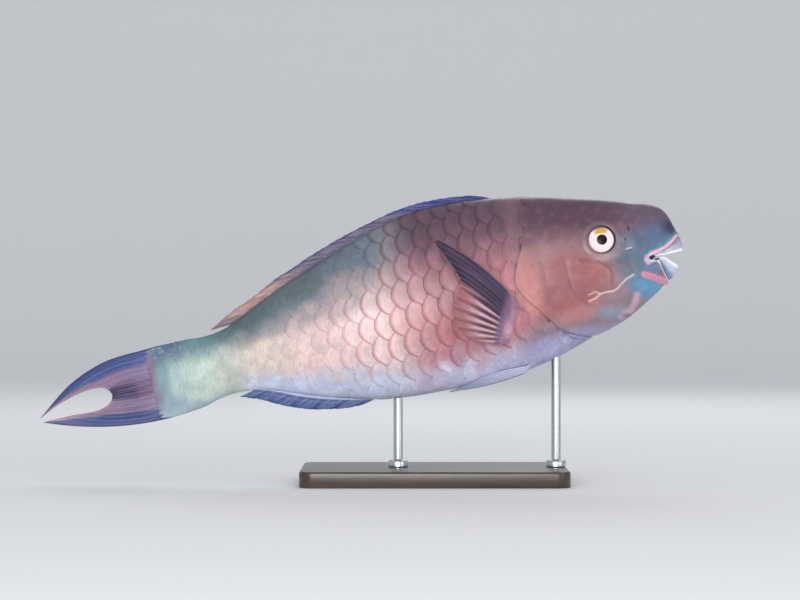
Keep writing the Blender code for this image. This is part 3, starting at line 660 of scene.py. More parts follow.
def skin_rows():
    """Places of the skin's left half by rows from mouth to tail, and the share of dark inside paint on
    each.
    """
    lip, gill = lip_loop(), gill_loop()
    lengths, stations = nose_length(lip[:, 0])
    ends, _ = nose_length(gill[:, 0])
    shares = np.linspace(0, 1, 400)[:, None]
    along = lengths + (ends - lengths) * shares
    reach, _ = nose_length(stations)
    back = np.interp(along, reach, stations)
    turn = lip[:, 1] + (gill[:, 1] - lip[:, 1]) * shares
    bare = skin_at(back, turn)
    steps = np.linalg.norm(np.diff(bare, axis=0), axis=2)
    run = np.vstack([np.zeros(HALF_COLUMNS + 1), np.cumsum(steps, axis=0)])

    lip_run, lip_out = np.array(LIP_ROLL).T
    edge_run = np.array(GILL_EDGE_ROWS)
    middle = np.linspace(0, 1, HEAD_ROWS + 2)[1:-1]
    rows = []
    for run_here, back_here, turn_here in zip(run.T, back.T, turn.T):
        start, end = lip_run[-1], run_here[-1] - edge_run[0]
        wanted = np.concatenate([lip_run, start + (end - start) * middle, run_here[-1] - edge_run])
        rows.append(np.stack([np.interp(wanted, run_here, v) for v in (back_here, turn_here, run_here)]))
    back, turn, run = np.stack(rows, -1)
    height = skin_at(back, turn)[..., 2]

    edge_back, edge_turn = gill.T
    edge_height = skin_at(edge_back, edge_turn)[..., 2]
    open_edge = ease(edge_height, 44, 30) * ease(edge_height, -47, -38)
    to_edge = run[-1] - run
    out = np.interp(run, lip_run, lip_out) * (run < lip_run[-1])
    out += head_relief(back, height) * ease(run, 3.0, 6.0)
    lid = FLAP_RISE * open_edge - COAT_DEPTH * (1 - open_edge)
    out += lid * ease(to_edge, FLAP_REACH, 0)
    head = skin_at(back, turn) + out[..., None] * outward(back, turn)
    mouth = np.array([head[0] + (np.array(MOUTH_END) - head[0]) * share for share in MOUTH_SHARES])

    fold = []
    for angle in np.radians((40, 80, 120, 160)):
        forward = FLAP_EDGE * math.sin(angle) * (0.2 + 0.8 * open_edge)
        down = FLAP_EDGE * (1 - math.cos(angle)) * open_edge
        fold.append((edge_back + forward, lid - down))
    under = lid - 2 * FLAP_EDGE * open_edge
    for share in (0.25, 0.6, 1.0):
        fold.append((edge_back - (FLAP_FOLD * open_edge + 0.02) * share, under))
    fold.append((edge_back - FLAP_FOLD * open_edge - 0.1, 0.5 * (under - COAT_DEPTH)))
    trunk_start = edge_back - FLAP_FOLD * open_edge
    for share in (*TRUNK_FIRST_SHARES, *np.linspace(TRUNK_EVEN_FROM, 1, TRUNK_ROWS)):
        sunk = np.full(under.shape, -COAT_DEPTH * ease(share, 1.0, 0.9))
        fold.append((trunk_start + (SKIN_END - trunk_start) * share, sunk))
    fold_back, fold_out = [np.array(v) for v in zip(*fold)]
    fold_turn = edge_turn + 0 * fold_back
    trunk = skin_at(fold_back, fold_turn) + fold_out[..., None] * outward(fold_back, fold_turn)
    close = trunk[-1] * [1, 0.2, 0.98] + [0.6, 0, 0]
    places = np.concatenate([mouth, head, trunk, [close]])

    # Rows inside the mouth, at its edge and under each gill cover's flap take the dark inside paint:
    # painted shade
    depth = np.zeros(places.shape[:2])
    depth[: len(mouth)] = 1
    depth[len(mouth)] = 0.6
    under_flap = len(mouth) + len(head) + 4
    depth[under_flap : under_flap + 5] = 0.8 * open_edge
    return places, depth


def mouth_paint(back, height, colour):
    """The rose and white lips and the bar under the mouth, laid over the skin's colours."""
    wash = painter(colour)
    oval, near = side_view(back, height)
    upper_lip = ((-2.2, 12.4), (-0.2, 12.4), (3, 10.2), (6.3, 8.3), (11.7, 6.1), (17, 4.9), (23, 4.3))
    lower_lip = ((19, -1), (17.4, -3), (17, -6), (15.8, -11), (14.2, -16.2), (13.8, -17.6))
    chin_bar = ((32, -8.6), (24, -13.2), (15.6, -19.0))
    wash((84, 150, 168), near(upper_lip, 3.0, 4.6) * 0.55)
    wash((236, 176, 186), near(upper_lip, 1.7, 2.7))
    wash((246, 214, 216), near(upper_lip, 0.3, 1.0) * 0.6)
    wash((196, 174, 200), oval((26.6, 1.6), (2.6, 3.8), 0.35))
    wash((196, 226, 228), oval((22.6, 0.4), (2.6, 1.8), 0.5))
    wash((92, 112, 148), oval((24.5, -6.4), (7.5, 3.0), 0.5, -20) * 0.9)
    wash((206, 134, 160), near(chin_bar, 2.0, 2.9))
    wash((234, 226, 236), near(lower_lip, 0.8, 1.5))


def whole_round(half):
    """A half sheet, its columns from back to belly, and its mirror image back up to the first column."""
    other = half[:, ::-1].copy()
    if half.ndim == 3:
        other[..., 1] *= -1
    return np.concatenate([half, other[:, 1:]], axis=1)


def lay_values(mesh, name, values):
    """Three numbers for each vertex, in order, carried by the mesh under this name."""
    layer = mesh.verts.layers.float_color.new(name)
    for vert, value in zip(mesh.verts, values.reshape(-1, 3)):
        vert[layer] = (*value, 1)


def sheet_mesh(places, paint):
    """A bmesh grid through rows and columns of places, with a colour for each."""
    mesh = bmesh.new()
    rows, columns = places.shape[:2]
    bmesh.ops.create_grid(mesh, x_segments=columns - 1, y_segments=rows - 1, size=1)
    for vert, place in zip(mesh.verts, places.reshape(-1, 3)):
        vert.co = place
    lay_values(mesh, "paint", paint)
    return mesh


def skin_finish():
    """Painted skin: fine speckle over the paint, a soft wet gloss and a grain of small bumps."""
    finish = Finish("painted_skin", 0.42, Coat_Weight=0.12, Coat_Roughness=0.2, Subsurface_Weight=0.06,
                    Subsurface_Scale=0.004)
    place = finish.place()
    speckle = finish.noise(place, SPECKLE_SCALE, 6.0, 0.65)
    cloud = finish.noise(place, CLOUD_SCALE, 3.0)
    light = finish.ramp(speckle, (0.3, (0.91, 0.91, 0.92)), (0.7, (1.06, 1.06, 1.05)))
    broad = finish.ramp(cloud, (0.3, (0.88, 0.90, 0.92)), (0.7, (1.10, 1.08, 1.07)))
    finish.colour(finish.paint(light, broad))
    finish.bump(speckle, 0.2, 0.00012)
    return finish.material


def skin():
    half, depth = skin_rows()
    places, depth = whole_round(half), whole_round(depth)
    back, height = places[..., 0], places[..., 2]
    paint = body_paint(back, height)
    mouth_paint(back, height, paint)
    # Dark maroon of painted shade in the mouth and under the gill flaps; the lilac at the mouth's corner
    # is its own colour
    corner = ease(back, 16, 24)[..., None] * 0.6
    inside = tone(92, 44, 56) * (1 - corner) + tone(160, 138, 172) * corner
    paint += (inside - paint) * depth[..., None]
    mesh = sheet_mesh(in_place(places), paint)
    bmesh.ops.remove_doubles(mesh, verts=mesh.verts, dist=1e-6)
    rim = [e for e in mesh.edges if e.is_boundary]
    bmesh.ops.contextual_create(mesh, geom=rim)
    bmesh.ops.recalc_face_normals(mesh, faces=mesh.faces)
    piece = add_piece("fish_skin", mesh)
    piece.data.materials.append(skin_finish())
    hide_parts("head", "torso", "tail_stalk")
    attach(piece, "root")


skin()

# Eyes
# Glass eyes, flatter than a ball and set a little proud in the sockets, painted behind a clear glaze.
# The iris is pale with a gold upper arc; a dark crescent of painted shade shows the gap in front of it.
EYE_FLATTEN, EYE_STANDS_OUT, EYE_LEAN = 0.5, 2.9, 0.5
IRIS_RADIUS, PUPIL_RADIUS = 9.3, 3.9
# The eye's hidden back: distance from its middle line, and how far in
EYE_BACK = ((10.7, -1.2), (9.6, -2.4), (6.0, -3.6), (0.0, -4.2))


def cheek_facing(side, share=1.0):
    """Which way (forward, out, up) the cheek faces at the eye, or a share of the way from sideways."""
    back, height = EYE_PLACE
    aft = (flank(back + EYE_RADIUS, height) - flank(back - EYE_RADIUS, height)) / (2 * EYE_RADIUS)
    rise = (flank(back, height + EYE_RADIUS) - flank(back, height - EYE_RADIUS)) / (2 * EYE_RADIUS)
    return Vector((share * aft, side, -share * rise)).normalized()


def eye_paint(ahead, above):
    """Colours of the eye's face from places ahead of and above its middle."""
    reach = np.hypot(ahead, above)
    colour = np.zeros(reach.shape + (3,)) + tone(120, 96, 104)
    wash = painter(colour)
    front = ease(ahead / np.maximum(reach, 1e-6), -0.35, 0.55)
    wash((236, 216, 222), front * ease(reach, 10.4, 10.8) * (1 - ease(above, 4, 7)))
    # A dark ring of painted shade round the iris, deepest in front, for the gap there
    wash((44, 24, 34), (1 - ease(np.hypot(ahead - 0.3, above), 10.1, 10.6)) * (0.35 + 0.65 * front))
    iris = 1 - ease(np.hypot(ahead + 0.35, above), IRIS_RADIUS - 0.25, IRIS_RADIUS + 0.25)
    wash((247, 226, 224), iris)
    threads = np.sin(reach * 3.1 + 0.9 * np.sin(3 * np.arctan2(above, ahead)))
    wash((214, 190, 196), iris * 0.5 * ease(threads, 0.4, 1.0))
    wash((122, 84, 40), iris * ease(above, 7.0, 9.2))
    gold = np.hypot((ahead - 1.0) / 5.2, (above - 6.1) / 2.5)
    wash((206, 160, 66), iris * (1 - ease(gold, 0.6, 1.25)))
    wash((250, 226, 170), iris * (1 - ease(np.hypot(ahead / 3.6, (above - 4.2) / 1.0), 0.4, 1.3)) * 0.9)
    wash((18, 8, 14), 1 - ease(np.hypot(ahead, above * 1.02), PUPIL_RADIUS - 0.15, PUPIL_RADIUS + 0.2))
    wash((38, 22, 36), (1 - ease(np.hypot(ahead + 0.3, above - 0.1), 1.6, 3.0)) * 0.7)
    return colour


def eye(name, side):
    mesh = bmesh.new()
    radii = np.concatenate([np.linspace(0.0, 10.6, 62), [10.8, 10.92, 10.98, EYE_RADIUS]])
    domes = EYE_RADIUS * EYE_FLATTEN * np.sqrt(np.clip(1 - (radii / EYE_RADIUS) ** 2, 0, 1))
    line = [mesh.verts.new((radius, 0, dome)) for radius, dome in (*zip(radii, domes), *EYE_BACK)]
    edges = [mesh.edges.new(pair) for pair in zip(line, line[1:])]
    bmesh.ops.spin(mesh, geom=line + edges, axis=(0, 0, 1), steps=96, angle=2 * math.pi, use_merge=True)
    bmesh.ops.remove_doubles(mesh, verts=mesh.verts, dist=1e-4)
    bmesh.ops.recalc_face_normals(mesh, faces=mesh.faces)
    facing = Vector((0, 0, 1)).rotation_difference(cheek_facing(side, EYE_LEAN)).to_matrix()
    bmesh.ops.rotate(mesh, matrix=facing, verts=mesh.verts)
    spots = np.array([vert.co for vert in mesh.verts])
    back, height = EYE_PLACE
    out = side * (flank(back, height) + EYE_STANDS_OUT - EYE_RADIUS * EYE_FLATTEN)
    paint = eye_paint(spots[:, 0], spots[:, 2])
    places = in_place(np.stack([back - spots[:, 0], out + spots[:, 1], height + spots[:, 2]], -1))
    for vert, place in zip(mesh.verts, places):
        vert.co = place
    lay_values(mesh, "paint", paint)
    piece = add_piece(name, mesh)
    glass = Finish(name + "_glass", 0.42, Coat_Weight=0.14, Coat_Roughness=0.04, Specular_IOR_Level=0.08)
    fleck = glass.noise(glass.place(), 1400.0)
    light = glass.ramp(fleck, (0.3, (0.86, 0.84, 0.84)), (0.7, (1.08, 1.07, 1.06)))
    glass.colour(glass.paint(light))
    piece.data.materials.append(glass.material)
    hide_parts(name)
    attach(piece, "root")


eye("eye_right", -1)
eye("eye_left", 1)

# Beak
# Each jaw's teeth are fused into one hard plate that curves round the front of the snout.
# The plates are bone-white at the biting edge and blue-grey below the lips, and still show their teeth.
UPPER_ROOT = ((-2.24, 12.6), (-1.2, 12.6), (-0.2, 12.4), (3, 10.4), (6.3, 8.5), (11.7, 6.3), (17, 5.1),
              (21.5, 4.4))
UPPER_BITE = ((-2.0, 1.35), (-1.2, 1.0), (0.5, 1.2), (4, 1.3), (8, 1.5), (12, 1.7), (16, 2.2),
              (20.5, 2.6))
LOWER_ROOT = ((13.4, -17.7), (13.9, -16.4), (15.3, -11), (16.8, -6), (17.6, -2.6), (18.6, -0.6))
LOWER_BITE = ((3.9, -9.6), (4.3, -8.9), (6.5, -6.4), (9.6, -3.6), (13.9, 0.4), (17.6, 0.9))
BEAK_RISE, BEAK_WALL, BITE_WALL = 0.35, 2.0, 0.5
BEAK_COLUMNS, BEAK_ROWS, SNOUT_REACH = 64, 26, 45.0
TOOTH_TURNS, TOOTH_RISE, TOOTH_JAG = 34, 0.12, 0.45


def snout_slice(height):
    """Stations round the snout at one height, from its mid line back, with half widths and lengths."""
    stations = np.linspace(NOSE_START, SNOUT_REACH, 800)
    top, belly, _ = body_at(stations)
    start = stations[(height <= top) & (height >= belly)][0]
    stations = start + (SNOUT_REACH - start) * np.linspace(0, 1, 260) ** 2
    sides = flank(stations, height)
    sides[0] = 0
    return stations, sides, arc_lengths(np.stack([stations, sides], 1))


def beak_half(root, bite):
    """Outer places of the left half of a plate, by rows from its root to its biting edge."""
    ends = []
    for line in (root, bite):
        line = smooth_rows(line, 10)
        arcs = []
        for back, height in line:
            stations, _, lengths = snout_slice(height)
            arcs.append(np.interp(back, stations, lengths))
        arcs[0] = 0.0
        spots = np.stack([arcs, line[:, 1]], 1)
        run = arc_lengths(spots)
        ends.append(even(spots.T, run, np.linspace(0, run[-1], BEAK_COLUMNS)))
    places = np.zeros((BEAK_ROWS, BEAK_COLUMNS, 3))
    for row, share in enumerate(np.linspace(0, 1, BEAK_ROWS)):
        for column in range(BEAK_COLUMNS):
            arc, height = ends[0][column] * (1 - share) + ends[1][column] * share
            stations, sides, lengths = snout_slice(height)
            places[row, column] = *even([stations, sides], lengths, arc), height
    return places


def closed_sheet(outer, inner, paint, marks=None):
    """A closed bmesh from two like grids of places whose borders are the same, merged along them."""
    places = np.concatenate([outer, inner[:, ::-1]], axis=1)
    colours = np.concatenate([paint, paint[:, ::-1]], axis=1)
    mesh = sheet_mesh(in_place(places), colours)
    if marks is not None:
        lay_values(mesh, "marks", np.concatenate([marks, marks[:, ::-1]], axis=1))
    bmesh.ops.remove_doubles(mesh, verts=mesh.verts, dist=1e-6)
    bmesh.ops.recalc_face_normals(mesh, faces=mesh.faces)
    return mesh


def sheet_normals(places):
    """Unit normals of a grid of places."""
    over, on = np.gradient(places, axis=1), np.gradient(places, axis=0)
    normal = np.cross(over, on)
    return normal / np.maximum(np.linalg.norm(normal, axis=-1, keepdims=True), 1e-9)


def beak(name, root, bite, shades):
    half = beak_half(root, bite)
    whole = np.concatenate([half[:, :0:-1] * [1, -1, 1], half], axis=1)
    rows, columns = whole.shape[:2]
    down = np.linspace(0, 1, rows)[:, None] + np.zeros((rows, columns))
    round_share = np.linspace(-1, 1, columns)[None, :] + np.zeros((rows, columns))
    normal = sheet_normals(whole)
    middle = whole[:, columns // 2 :].mean(axis=(0, 1)) * [1, 0, 1]
    front = rows // 2, columns // 2
    if (normal[front] * (whole[front] - [20, 0, middle[2]])).sum() < 0:
        normal = -normal
    teeth = np.abs(np.sin(round_share * TOOTH_TURNS + 1.1 * np.sin(down * 9)))
    rise = BEAK_RISE + TOOTH_RISE * teeth * (1 - 0.4 * down) - 0.5 * (1 - ease(down, 0, 0.12))
    jag = (down > 0.999) * TOOTH_JAG * teeth * np.sign(root[0][1] - bite[0][1])
    outer = whole + normal * rise[..., None]
    outer[..., 2] += jag
    wall = BITE_WALL + (BEAK_WALL - BITE_WALL) * (1 - down) ** 0.7
    inner = whole + normal * (rise - wall)[..., None]
    inner[..., 2] += jag
    pad = ((1, 1), (1, 1), (0, 0))
    middle_sheet = np.pad((outer + inner) / 2, pad, mode="edge")
    outer, inner = np.pad(outer, pad, mode="edge"), np.pad(inner, pad, mode="edge")
    for grid in (outer, inner):
        grid[[0, -1]] = middle_sheet[[0, -1]]
        grid[:, [0, -1]] = middle_sheet[:, [0, -1]]
    down, teeth = np.pad(down, 1, mode="edge"), np.pad(teeth, 1, mode="edge")
    paint = layered(
        tone(*shades[0]),
        (shades[1], ease(down, 0.1, 0.5)),
        (shades[2], ease(down + 0.06 * teeth, 0.74, 0.9)),
    )
    paint *= (0.86 + 0.14 * teeth)[..., None]
    piece = add_piece(name, closed_sheet(outer, inner, paint))
    enamel = Finish(name + "_enamel", 0.24, Coat_Weight=0.6, Coat_Roughness=0.12, Subsurface_Weight=0.1,
                    Subsurface_Scale=0.003)
    worn = enamel.noise(enamel.place(), 420.0, 5.0, 0.6)
    chips = enamel.ramp(worn, (0.3, (0.78, 0.80, 0.83)), (0.62, (1.06, 1.06, 1.06)))
    enamel.colour(enamel.paint(chips))
    enamel.bump(worn, 0.3, 0.0002)
    piece.data.materials.append(enamel.material)
    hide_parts(name)
    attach(piece, "root")


beak("upper_beak", UPPER_ROOT, UPPER_BITE, ((150, 132, 158), (176, 178, 198), (250, 250, 252)))
beak("lower_beak", LOWER_ROOT, LOWER_BITE, ((120, 132, 164), (196, 202, 224), (252, 252, 255)))

# Dorsal and anal fins
# Cast webs with a bony ray every few millimetres, folded low and swept back along the mid line.
# Each is painted in lengthways bands, and its foot is sunk into the skin.
RAY_HALF_THICKNESS, WEB_HALF_THICKNESS, EDGE_HALF_THICKNESS = 0.55, 0.16, 0.1
FOLDED_FIN_BOW = 0.35
FIN_END_RAGGED, FIN_SWAY, FIN_FOOT_HALF_THICKNESS = 0.35, 0.35, 1.1
DORSAL_RAYS, DORSAL_ROOT, DORSAL_SWEEP = 19, (123.0, 337.0), 21.0
DORSAL_EDGE = ((122, 77.2), (130, 79.8), (150, 83.6), (165, 85.7), (180, 86.6), (190, 86.4), (205, 84.9),
               (220, 81.9), (237, 78.3), (250, 75.0), (262, 71.5), (275, 67.5), (287, 63.0), (300, 59.0),
               (312, 53.6), (325, 48.2), (339, 43.2), (348, 38.8), (358, 33.6))
ANAL_RAYS, ANAL_ROOT, ANAL_SWEEP = 12, (248.0, 334.0), 15.0
ANAL_EDGE = ((248, -51.2), (261, -50.2), (275, -49.2), (287, -46.7), (300, -43.5), (315, -37.4),
             (324, -32.8), (334, -27.0), (342, -23.6), (349, -20.6))
FOOT_SUNK = 2.5


def fin_grid(across_steps, along_steps):
    """Shares across the rays and along them, as two like grids, closer together near the foot."""
    along = np.linspace(0, 1, along_steps) ** 1.15
    return np.meshgrid(np.linspace(0, 1, across_steps), along)


def ray_ridges(across, along, rays, width=0.2, fork_from=0.45, fork=0.2):
    """1 along each ray and its branches, falling to 0 on the web between."""
    place = across * (rays - 1)
    beside = np.abs(place - np.round(place))
    split = fork * ease(along, fork_from, 1.1)
    return np.exp(-((np.abs(beside - split) / width) ** 2))


def fin_thickness(along, ridge, thicker=0.0):
    """Half thickness of web and ray, thinning to the free edge."""
    full = WEB_HALF_THICKNESS + ridge * (RAY_HALF_THICKNESS - WEB_HALF_THICKNESS)
    return np.maximum(EDGE_HALF_THICKNESS + (full - EDGE_HALF_THICKNESS) * (1 - along**3), thicker)


def fin_finish(name):
    """Painted fin: fine streaks along the rays, darker and lighter joints across them, a wet gloss."""
    finish = Finish(name, 0.42, Coat_Weight=0.15, Coat_Roughness=0.25, Specular_IOR_Level=0.32)
    marks = finish.read("marks", "Vector")
    streak = finish.noise(finish.stretch(marks, (160.0, 5.0, 0.0)), 1.0, 4.0, 0.6)
    joint = finish.noise(finish.stretch(marks, (14.0, 46.0, 0.0)), 1.0, 2.0)
    light = finish.ramp(streak, (0.3, (0.72, 0.72, 0.76)), (0.7, (1.22, 1.2, 1.18)))
    joints = finish.ramp(joint, (0.35, (0.88, 0.88, 0.9)), (0.65, (1.08, 1.08, 1.08)))
    finish.colour(finish.paint(light, joints))
    finish.bump(streak, 0.5, 0.00025)
    return finish.material


def add_fin(name, middle, half, across, along, paint):
    """A closed fin from its middle sheet and half thickness, replacing the solid of the same name."""
    marks = np.stack([across, along, 0 * along], -1)
    pad = ((1, 1), (1, 1))
    sheets = middle, sheet_normals(middle), paint, marks
    sheet, normal, paint, marks = [np.pad(values, pad + ((0, 0),), mode="edge") for values in sheets]
    push = np.pad(half, pad)[..., None] * normal
    tag = {"caudal_fin": "tail_fin"}.get(name, name) + "_web"
    piece = add_piece(tag, closed_sheet(sheet + push, sheet - push, paint, marks))
    piece.data.materials.append(fin_finish(tag + "_paint"))
    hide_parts(name)
    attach(piece, "root")


def folded_fin(name, rays, root, sweep, edge, away, paint_by):
    across, along = fin_grid(rays * 14, 26)
    ridge = ray_ridges(across, along, rays)
    start = root[0] + across * (root[1] - root[0])
    top, belly, _ = body_at(start)
    foot = (top if away > 0 else belly) - away * FOOT_SUNK
    line = smooth_rows(edge, 8)
    ragged = FIN_END_RAGGED * (1 - ridge) * ease(along, 0.8, 1)
    tip = np.interp(start + sweep, line[:, 0], line[:, 1]) - away * ragged
    rise = along + FOLDED_FIN_BOW * along * (1 - along)
    sway = FIN_SWAY * along * np.sin(across * rays * math.pi)
    middle = np.stack([start + along * sweep, sway, foot + rise * (tip - foot)], -1)
    half = fin_thickness(along, ridge, FIN_FOOT_HALF_THICKNESS * np.exp(-((along / 0.28) ** 2)))
    flesh = body_paint(middle[..., 0], foot)
    paint = flesh + (paint_by(start, along, ridge) - flesh) * ease(along, 0.14, 0.3)[..., None]
    add_fin(name, middle, half, across, along, paint)


def dorsal_paint(back, along, ridge):
    rear = ease(back, 262, 302)
    front = 1 - ease(back, 165, 200)
    return layered(
        tone(92, 76, 102),
        ((92, 82, 110), ease(along, 0.3, 0.45) * (1 - rear) * (0.6 + 0.4 * ridge)),
        ((162, 126, 118), rear * (0.75 + 0.25 * ridge)),
        ((186, 140, 116), rear * ease(along, 0.45, 0.7) * ridge),
        ((60, 62, 112), ease(along, 0.74, 0.86) * (1 - 0.7 * rear)),
        ((44, 54, 122), front * ease(along, 0.18, 0.32)),
        ((40, 58, 132), front * ease(along, 0.7, 0.9)),
        ((80, 78, 104), ease(back, 318, 334) * 0.7),
    )


def anal_paint(_, along, ridge):
    return layered(
        tone(62, 76, 124),
        ((84, 100, 148), between(along, 0.22, 0.36, 0.48, 0.6) * (0.5 + 0.5 * ridge)),
        ((48, 70, 128), ease(along, 0.46, 0.62)),
        ((40, 52, 112), ease(along, 0.76, 0.9)),
        ((70, 94, 142), ease(along, 0.5, 0.7) * ridge * 0.45),
    )


folded_fin("dorsal_fin", DORSAL_RAYS, DORSAL_ROOT, DORSAL_SWEEP, DORSAL_EDGE, 1, dorsal_paint)
folded_fin("anal_fin", ANAL_RAYS, ANAL_ROOT, ANAL_SWEEP, ANAL_EDGE, -1, anal_paint)

# Tail fin
# A crescent fin folded so that the tips of its lobes nearly meet, cast in one web over branched rays.
# Its foot is a fleshy pad that grows out of the stalk, and its lobes are blue with rose inner margins.
TAIL_RAYS = 15
TAIL_ROOT, TAIL_ROOT_INSET, TAIL_PAD_INSET = 388.0, 0.5, 0.7
TAIL_RAGGED, TAIL_PLEAT = 0.35, 0.5
TAIL_TIPS = ((500.0, 1.2), (487, 7.0), (474, 11.0), (461, 13.2), (449, 12.6), (443.5, 8.5), (442.5, 4.0),
             (446, -0.6), (455, -3.4), (466, -3.0), (478, -2.0), (498, -1.7))
TAIL_BULGES = ((456.0, 37.0), (443.0, -25.9))
TAIL_UPPER_EDGE = ((388, 31.8), (400, 32.2), (413, 32.0), (427, 32.0), (441, 30.9), (455, 27.4),
                   (465, 23.6), (473, 19.8), (482, 14.2), (491, 7.8), (500, 1.2))


def even_share(line, share):
    """Points this share of the way through a line's list of points."""
    return even(line.T, np.linspace(0, 1, len(line)), share)


def tail_fin():
    across, along = fin_grid(TAIL_RAYS * 18, 110)
    top, belly, _ = body_at(TAIL_ROOT)
    tips = smooth_rows(TAIL_TIPS, 12)
    ridge = ray_ridges(across, along, TAIL_RAYS, 0.2, 0.3, 0.24)
    root_top, root_belly = top - TAIL_ROOT_INSET, belly + TAIL_ROOT_INSET
    root = np.stack([TAIL_ROOT + 0 * across, root_top + across * (root_belly - root_top)], -1)
    tip = even_share(tips, across)
    inner_edge = ease(np.abs(1 - 2 * across), 1.0, 0.7)
    tip[..., 0] -= TAIL_RAGGED * (1 - ridge) * inner_edge
    lobe = np.where((across < 0.5)[..., None], TAIL_BULGES[0], TAIL_BULGES[1])
    outer = np.abs(1 - 2 * across)[..., None]
    straight = (root + tip) / 2
    bulge = straight + (lobe - straight) * outer**1.5
    share = along[..., None]
    spot = root * (1 - share) ** 2 + bulge * 2 * share * (1 - share) + tip * share**2
    edge = smooth_rows(TAIL_UPPER_EDGE, 8)
    lengths = arc_lengths(edge)
    raised = even(edge.T, lengths, along[:, 0] * lengths[-1]) - spot[:, 0]
    spot = spot + raised[:, None] * (np.clip(1 - 2 * across, 0, 1) ** 1.5)[..., None]
    back, height = spot[..., 0], spot[..., 1]
    pleat = np.sin(across * (TAIL_RAYS - 1) * 2 * math.pi) * inner_edge
    pleat *= TAIL_PLEAT * ease(back, 405, 430)
    middle = np.stack([back, pleat, height], -1)
    top, belly, _ = body_at(back)
    fleshy = flank(back, np.clip(height, belly + 1e-3, top - 1e-3)) - TAIL_PAD_INSET
    half = fin_thickness(along, ridge, fleshy)

    margins = [np.stack([back[:, column], height[:, column]], -1)[::4] for column in (0, -1)]
    to_outer = np.minimum(*[line_distance(back, height, margin) for margin in margins])
    to_inner = line_distance(back, height, tips[2:-2:4])
    from_outer = to_outer / np.maximum(to_outer + to_inner, 1e-6)
    upper = 1.0 * (across < 0.5)
    lobed = ease(back, 424, 446)
    begun = ease(back + 2 * mottle(back, height, 4.0), 398 - 8 * upper, 408 - 8 * upper)
    blue_to = 7.5 + 1.0 * upper
    blue = (1 - ease(to_outer, blue_to, blue_to + 2.0)) * (1 - ease(from_outer, 0.58, 0.68)) * begun
    rose = (1 - ease(to_outer, 17, 22)) * (1 - blue)
    web = 1 - ridge
    fin = layered(
        tone(90, 70, 104),
        ((108, 82, 114), patch(back, height, (417, 3), (7, 24), 0.7) * 0.8),
        ((126, 108, 136), patch(back, height, (426, 14), (18, 6), 0.7, -12) * 0.6),
        ((32, 38, 80), ease(back, 418, 430) * (1 - rose) * web * 0.9),
        ((86, 72, 106), ease(back, 422, 432) * (1 - rose) * ridge * 0.6),
        ((42, 30, 50), ease(back, 434, 446) * (1 - rose) * (1 - blue) * 0.7),
        ((134, 118, 146), rose * 0.85),
        ((164, 134, 150), rose * ridge * 0.5 * lobed),
        ((170, 134, 144), rose * (1 - ease(to_inner, 0.8, 2.4)) * lobed * 0.7),
        ((44, 57, 113), blue),
        ((66, 88, 148), blue * ridge * 0.5),
        ((84, 99, 150), blue * upper * ease(to_outer, 1.5, 6) * 0.7),
        ((78, 88, 136), blue * (1 - upper) * ease(to_outer, 1, 3.5) * (1 - ease(back, 445, 470)) * 0.6),
        ((46, 50, 108), blue * (1 - ease(to_outer, 0.8, 3.4)) * 0.7),
        # A greenish painted sheen along the lobes' blue
        ((84, 122, 140), blue * patch(to_outer, back, (6.5, 470), (1.6, 18), 0.8) * 0.5),
        ((44, 46, 88), (1 - ease(to_outer, 0.2, 0.9)) * begun),
        ((104, 88, 112), ease(back, 487, 496) * 0.9),
    )
    flesh = body_paint(back, height)
    emerged = np.maximum(ease(back + 3 * mottle(back, height, 6.0, 1.0), 402, 412), blue)
    paint = flesh + (fin - flesh) * emerged[..., None]
    add_fin("caudal_fin", middle, half, across, along, paint)


tail_fin()

# Pectoral fins
# The right and left swimming fins, raised and held off the flank on a fleshy rose-coloured root.
# Their upper rays make one dark slate blade; the lower rays are pale and fine in a thin web.
PECTORAL_RAYS = 14
PECTORAL_ROOT = ((128, -8.5), (131.5, -13.5), (135, -19), (137.5, -24.5), (139.5, -29.5), (141, -33))
PECTORAL_TIPS = ((175.6, 55.6), (178.2, 52.6), (175.2, 46), (171.6, 37), (168.6, 29), (167.4, 21.5),
                 (171.4, 14), (177, 6.5), (178.6, -3), (177, -12.5), (169, -23), (152, -31.5))
PECTORAL_SPREAD = math.radians(23)
PECTORAL_SUNK, PECTORAL_ROOT_RISE, PECTORAL_ROOT_LENGTH = 4.0, 5.2, 9.0
PECTORAL_ROOT_HALF_THICKNESS, PECTORAL_BOW = 2.6, (-12.0, 15.0)
PECTORAL_RAGGED, PECTORAL_PLEAT, PECTORAL_WEB_TINT_AND_SHADE = 0.03, 0.25, 0.66


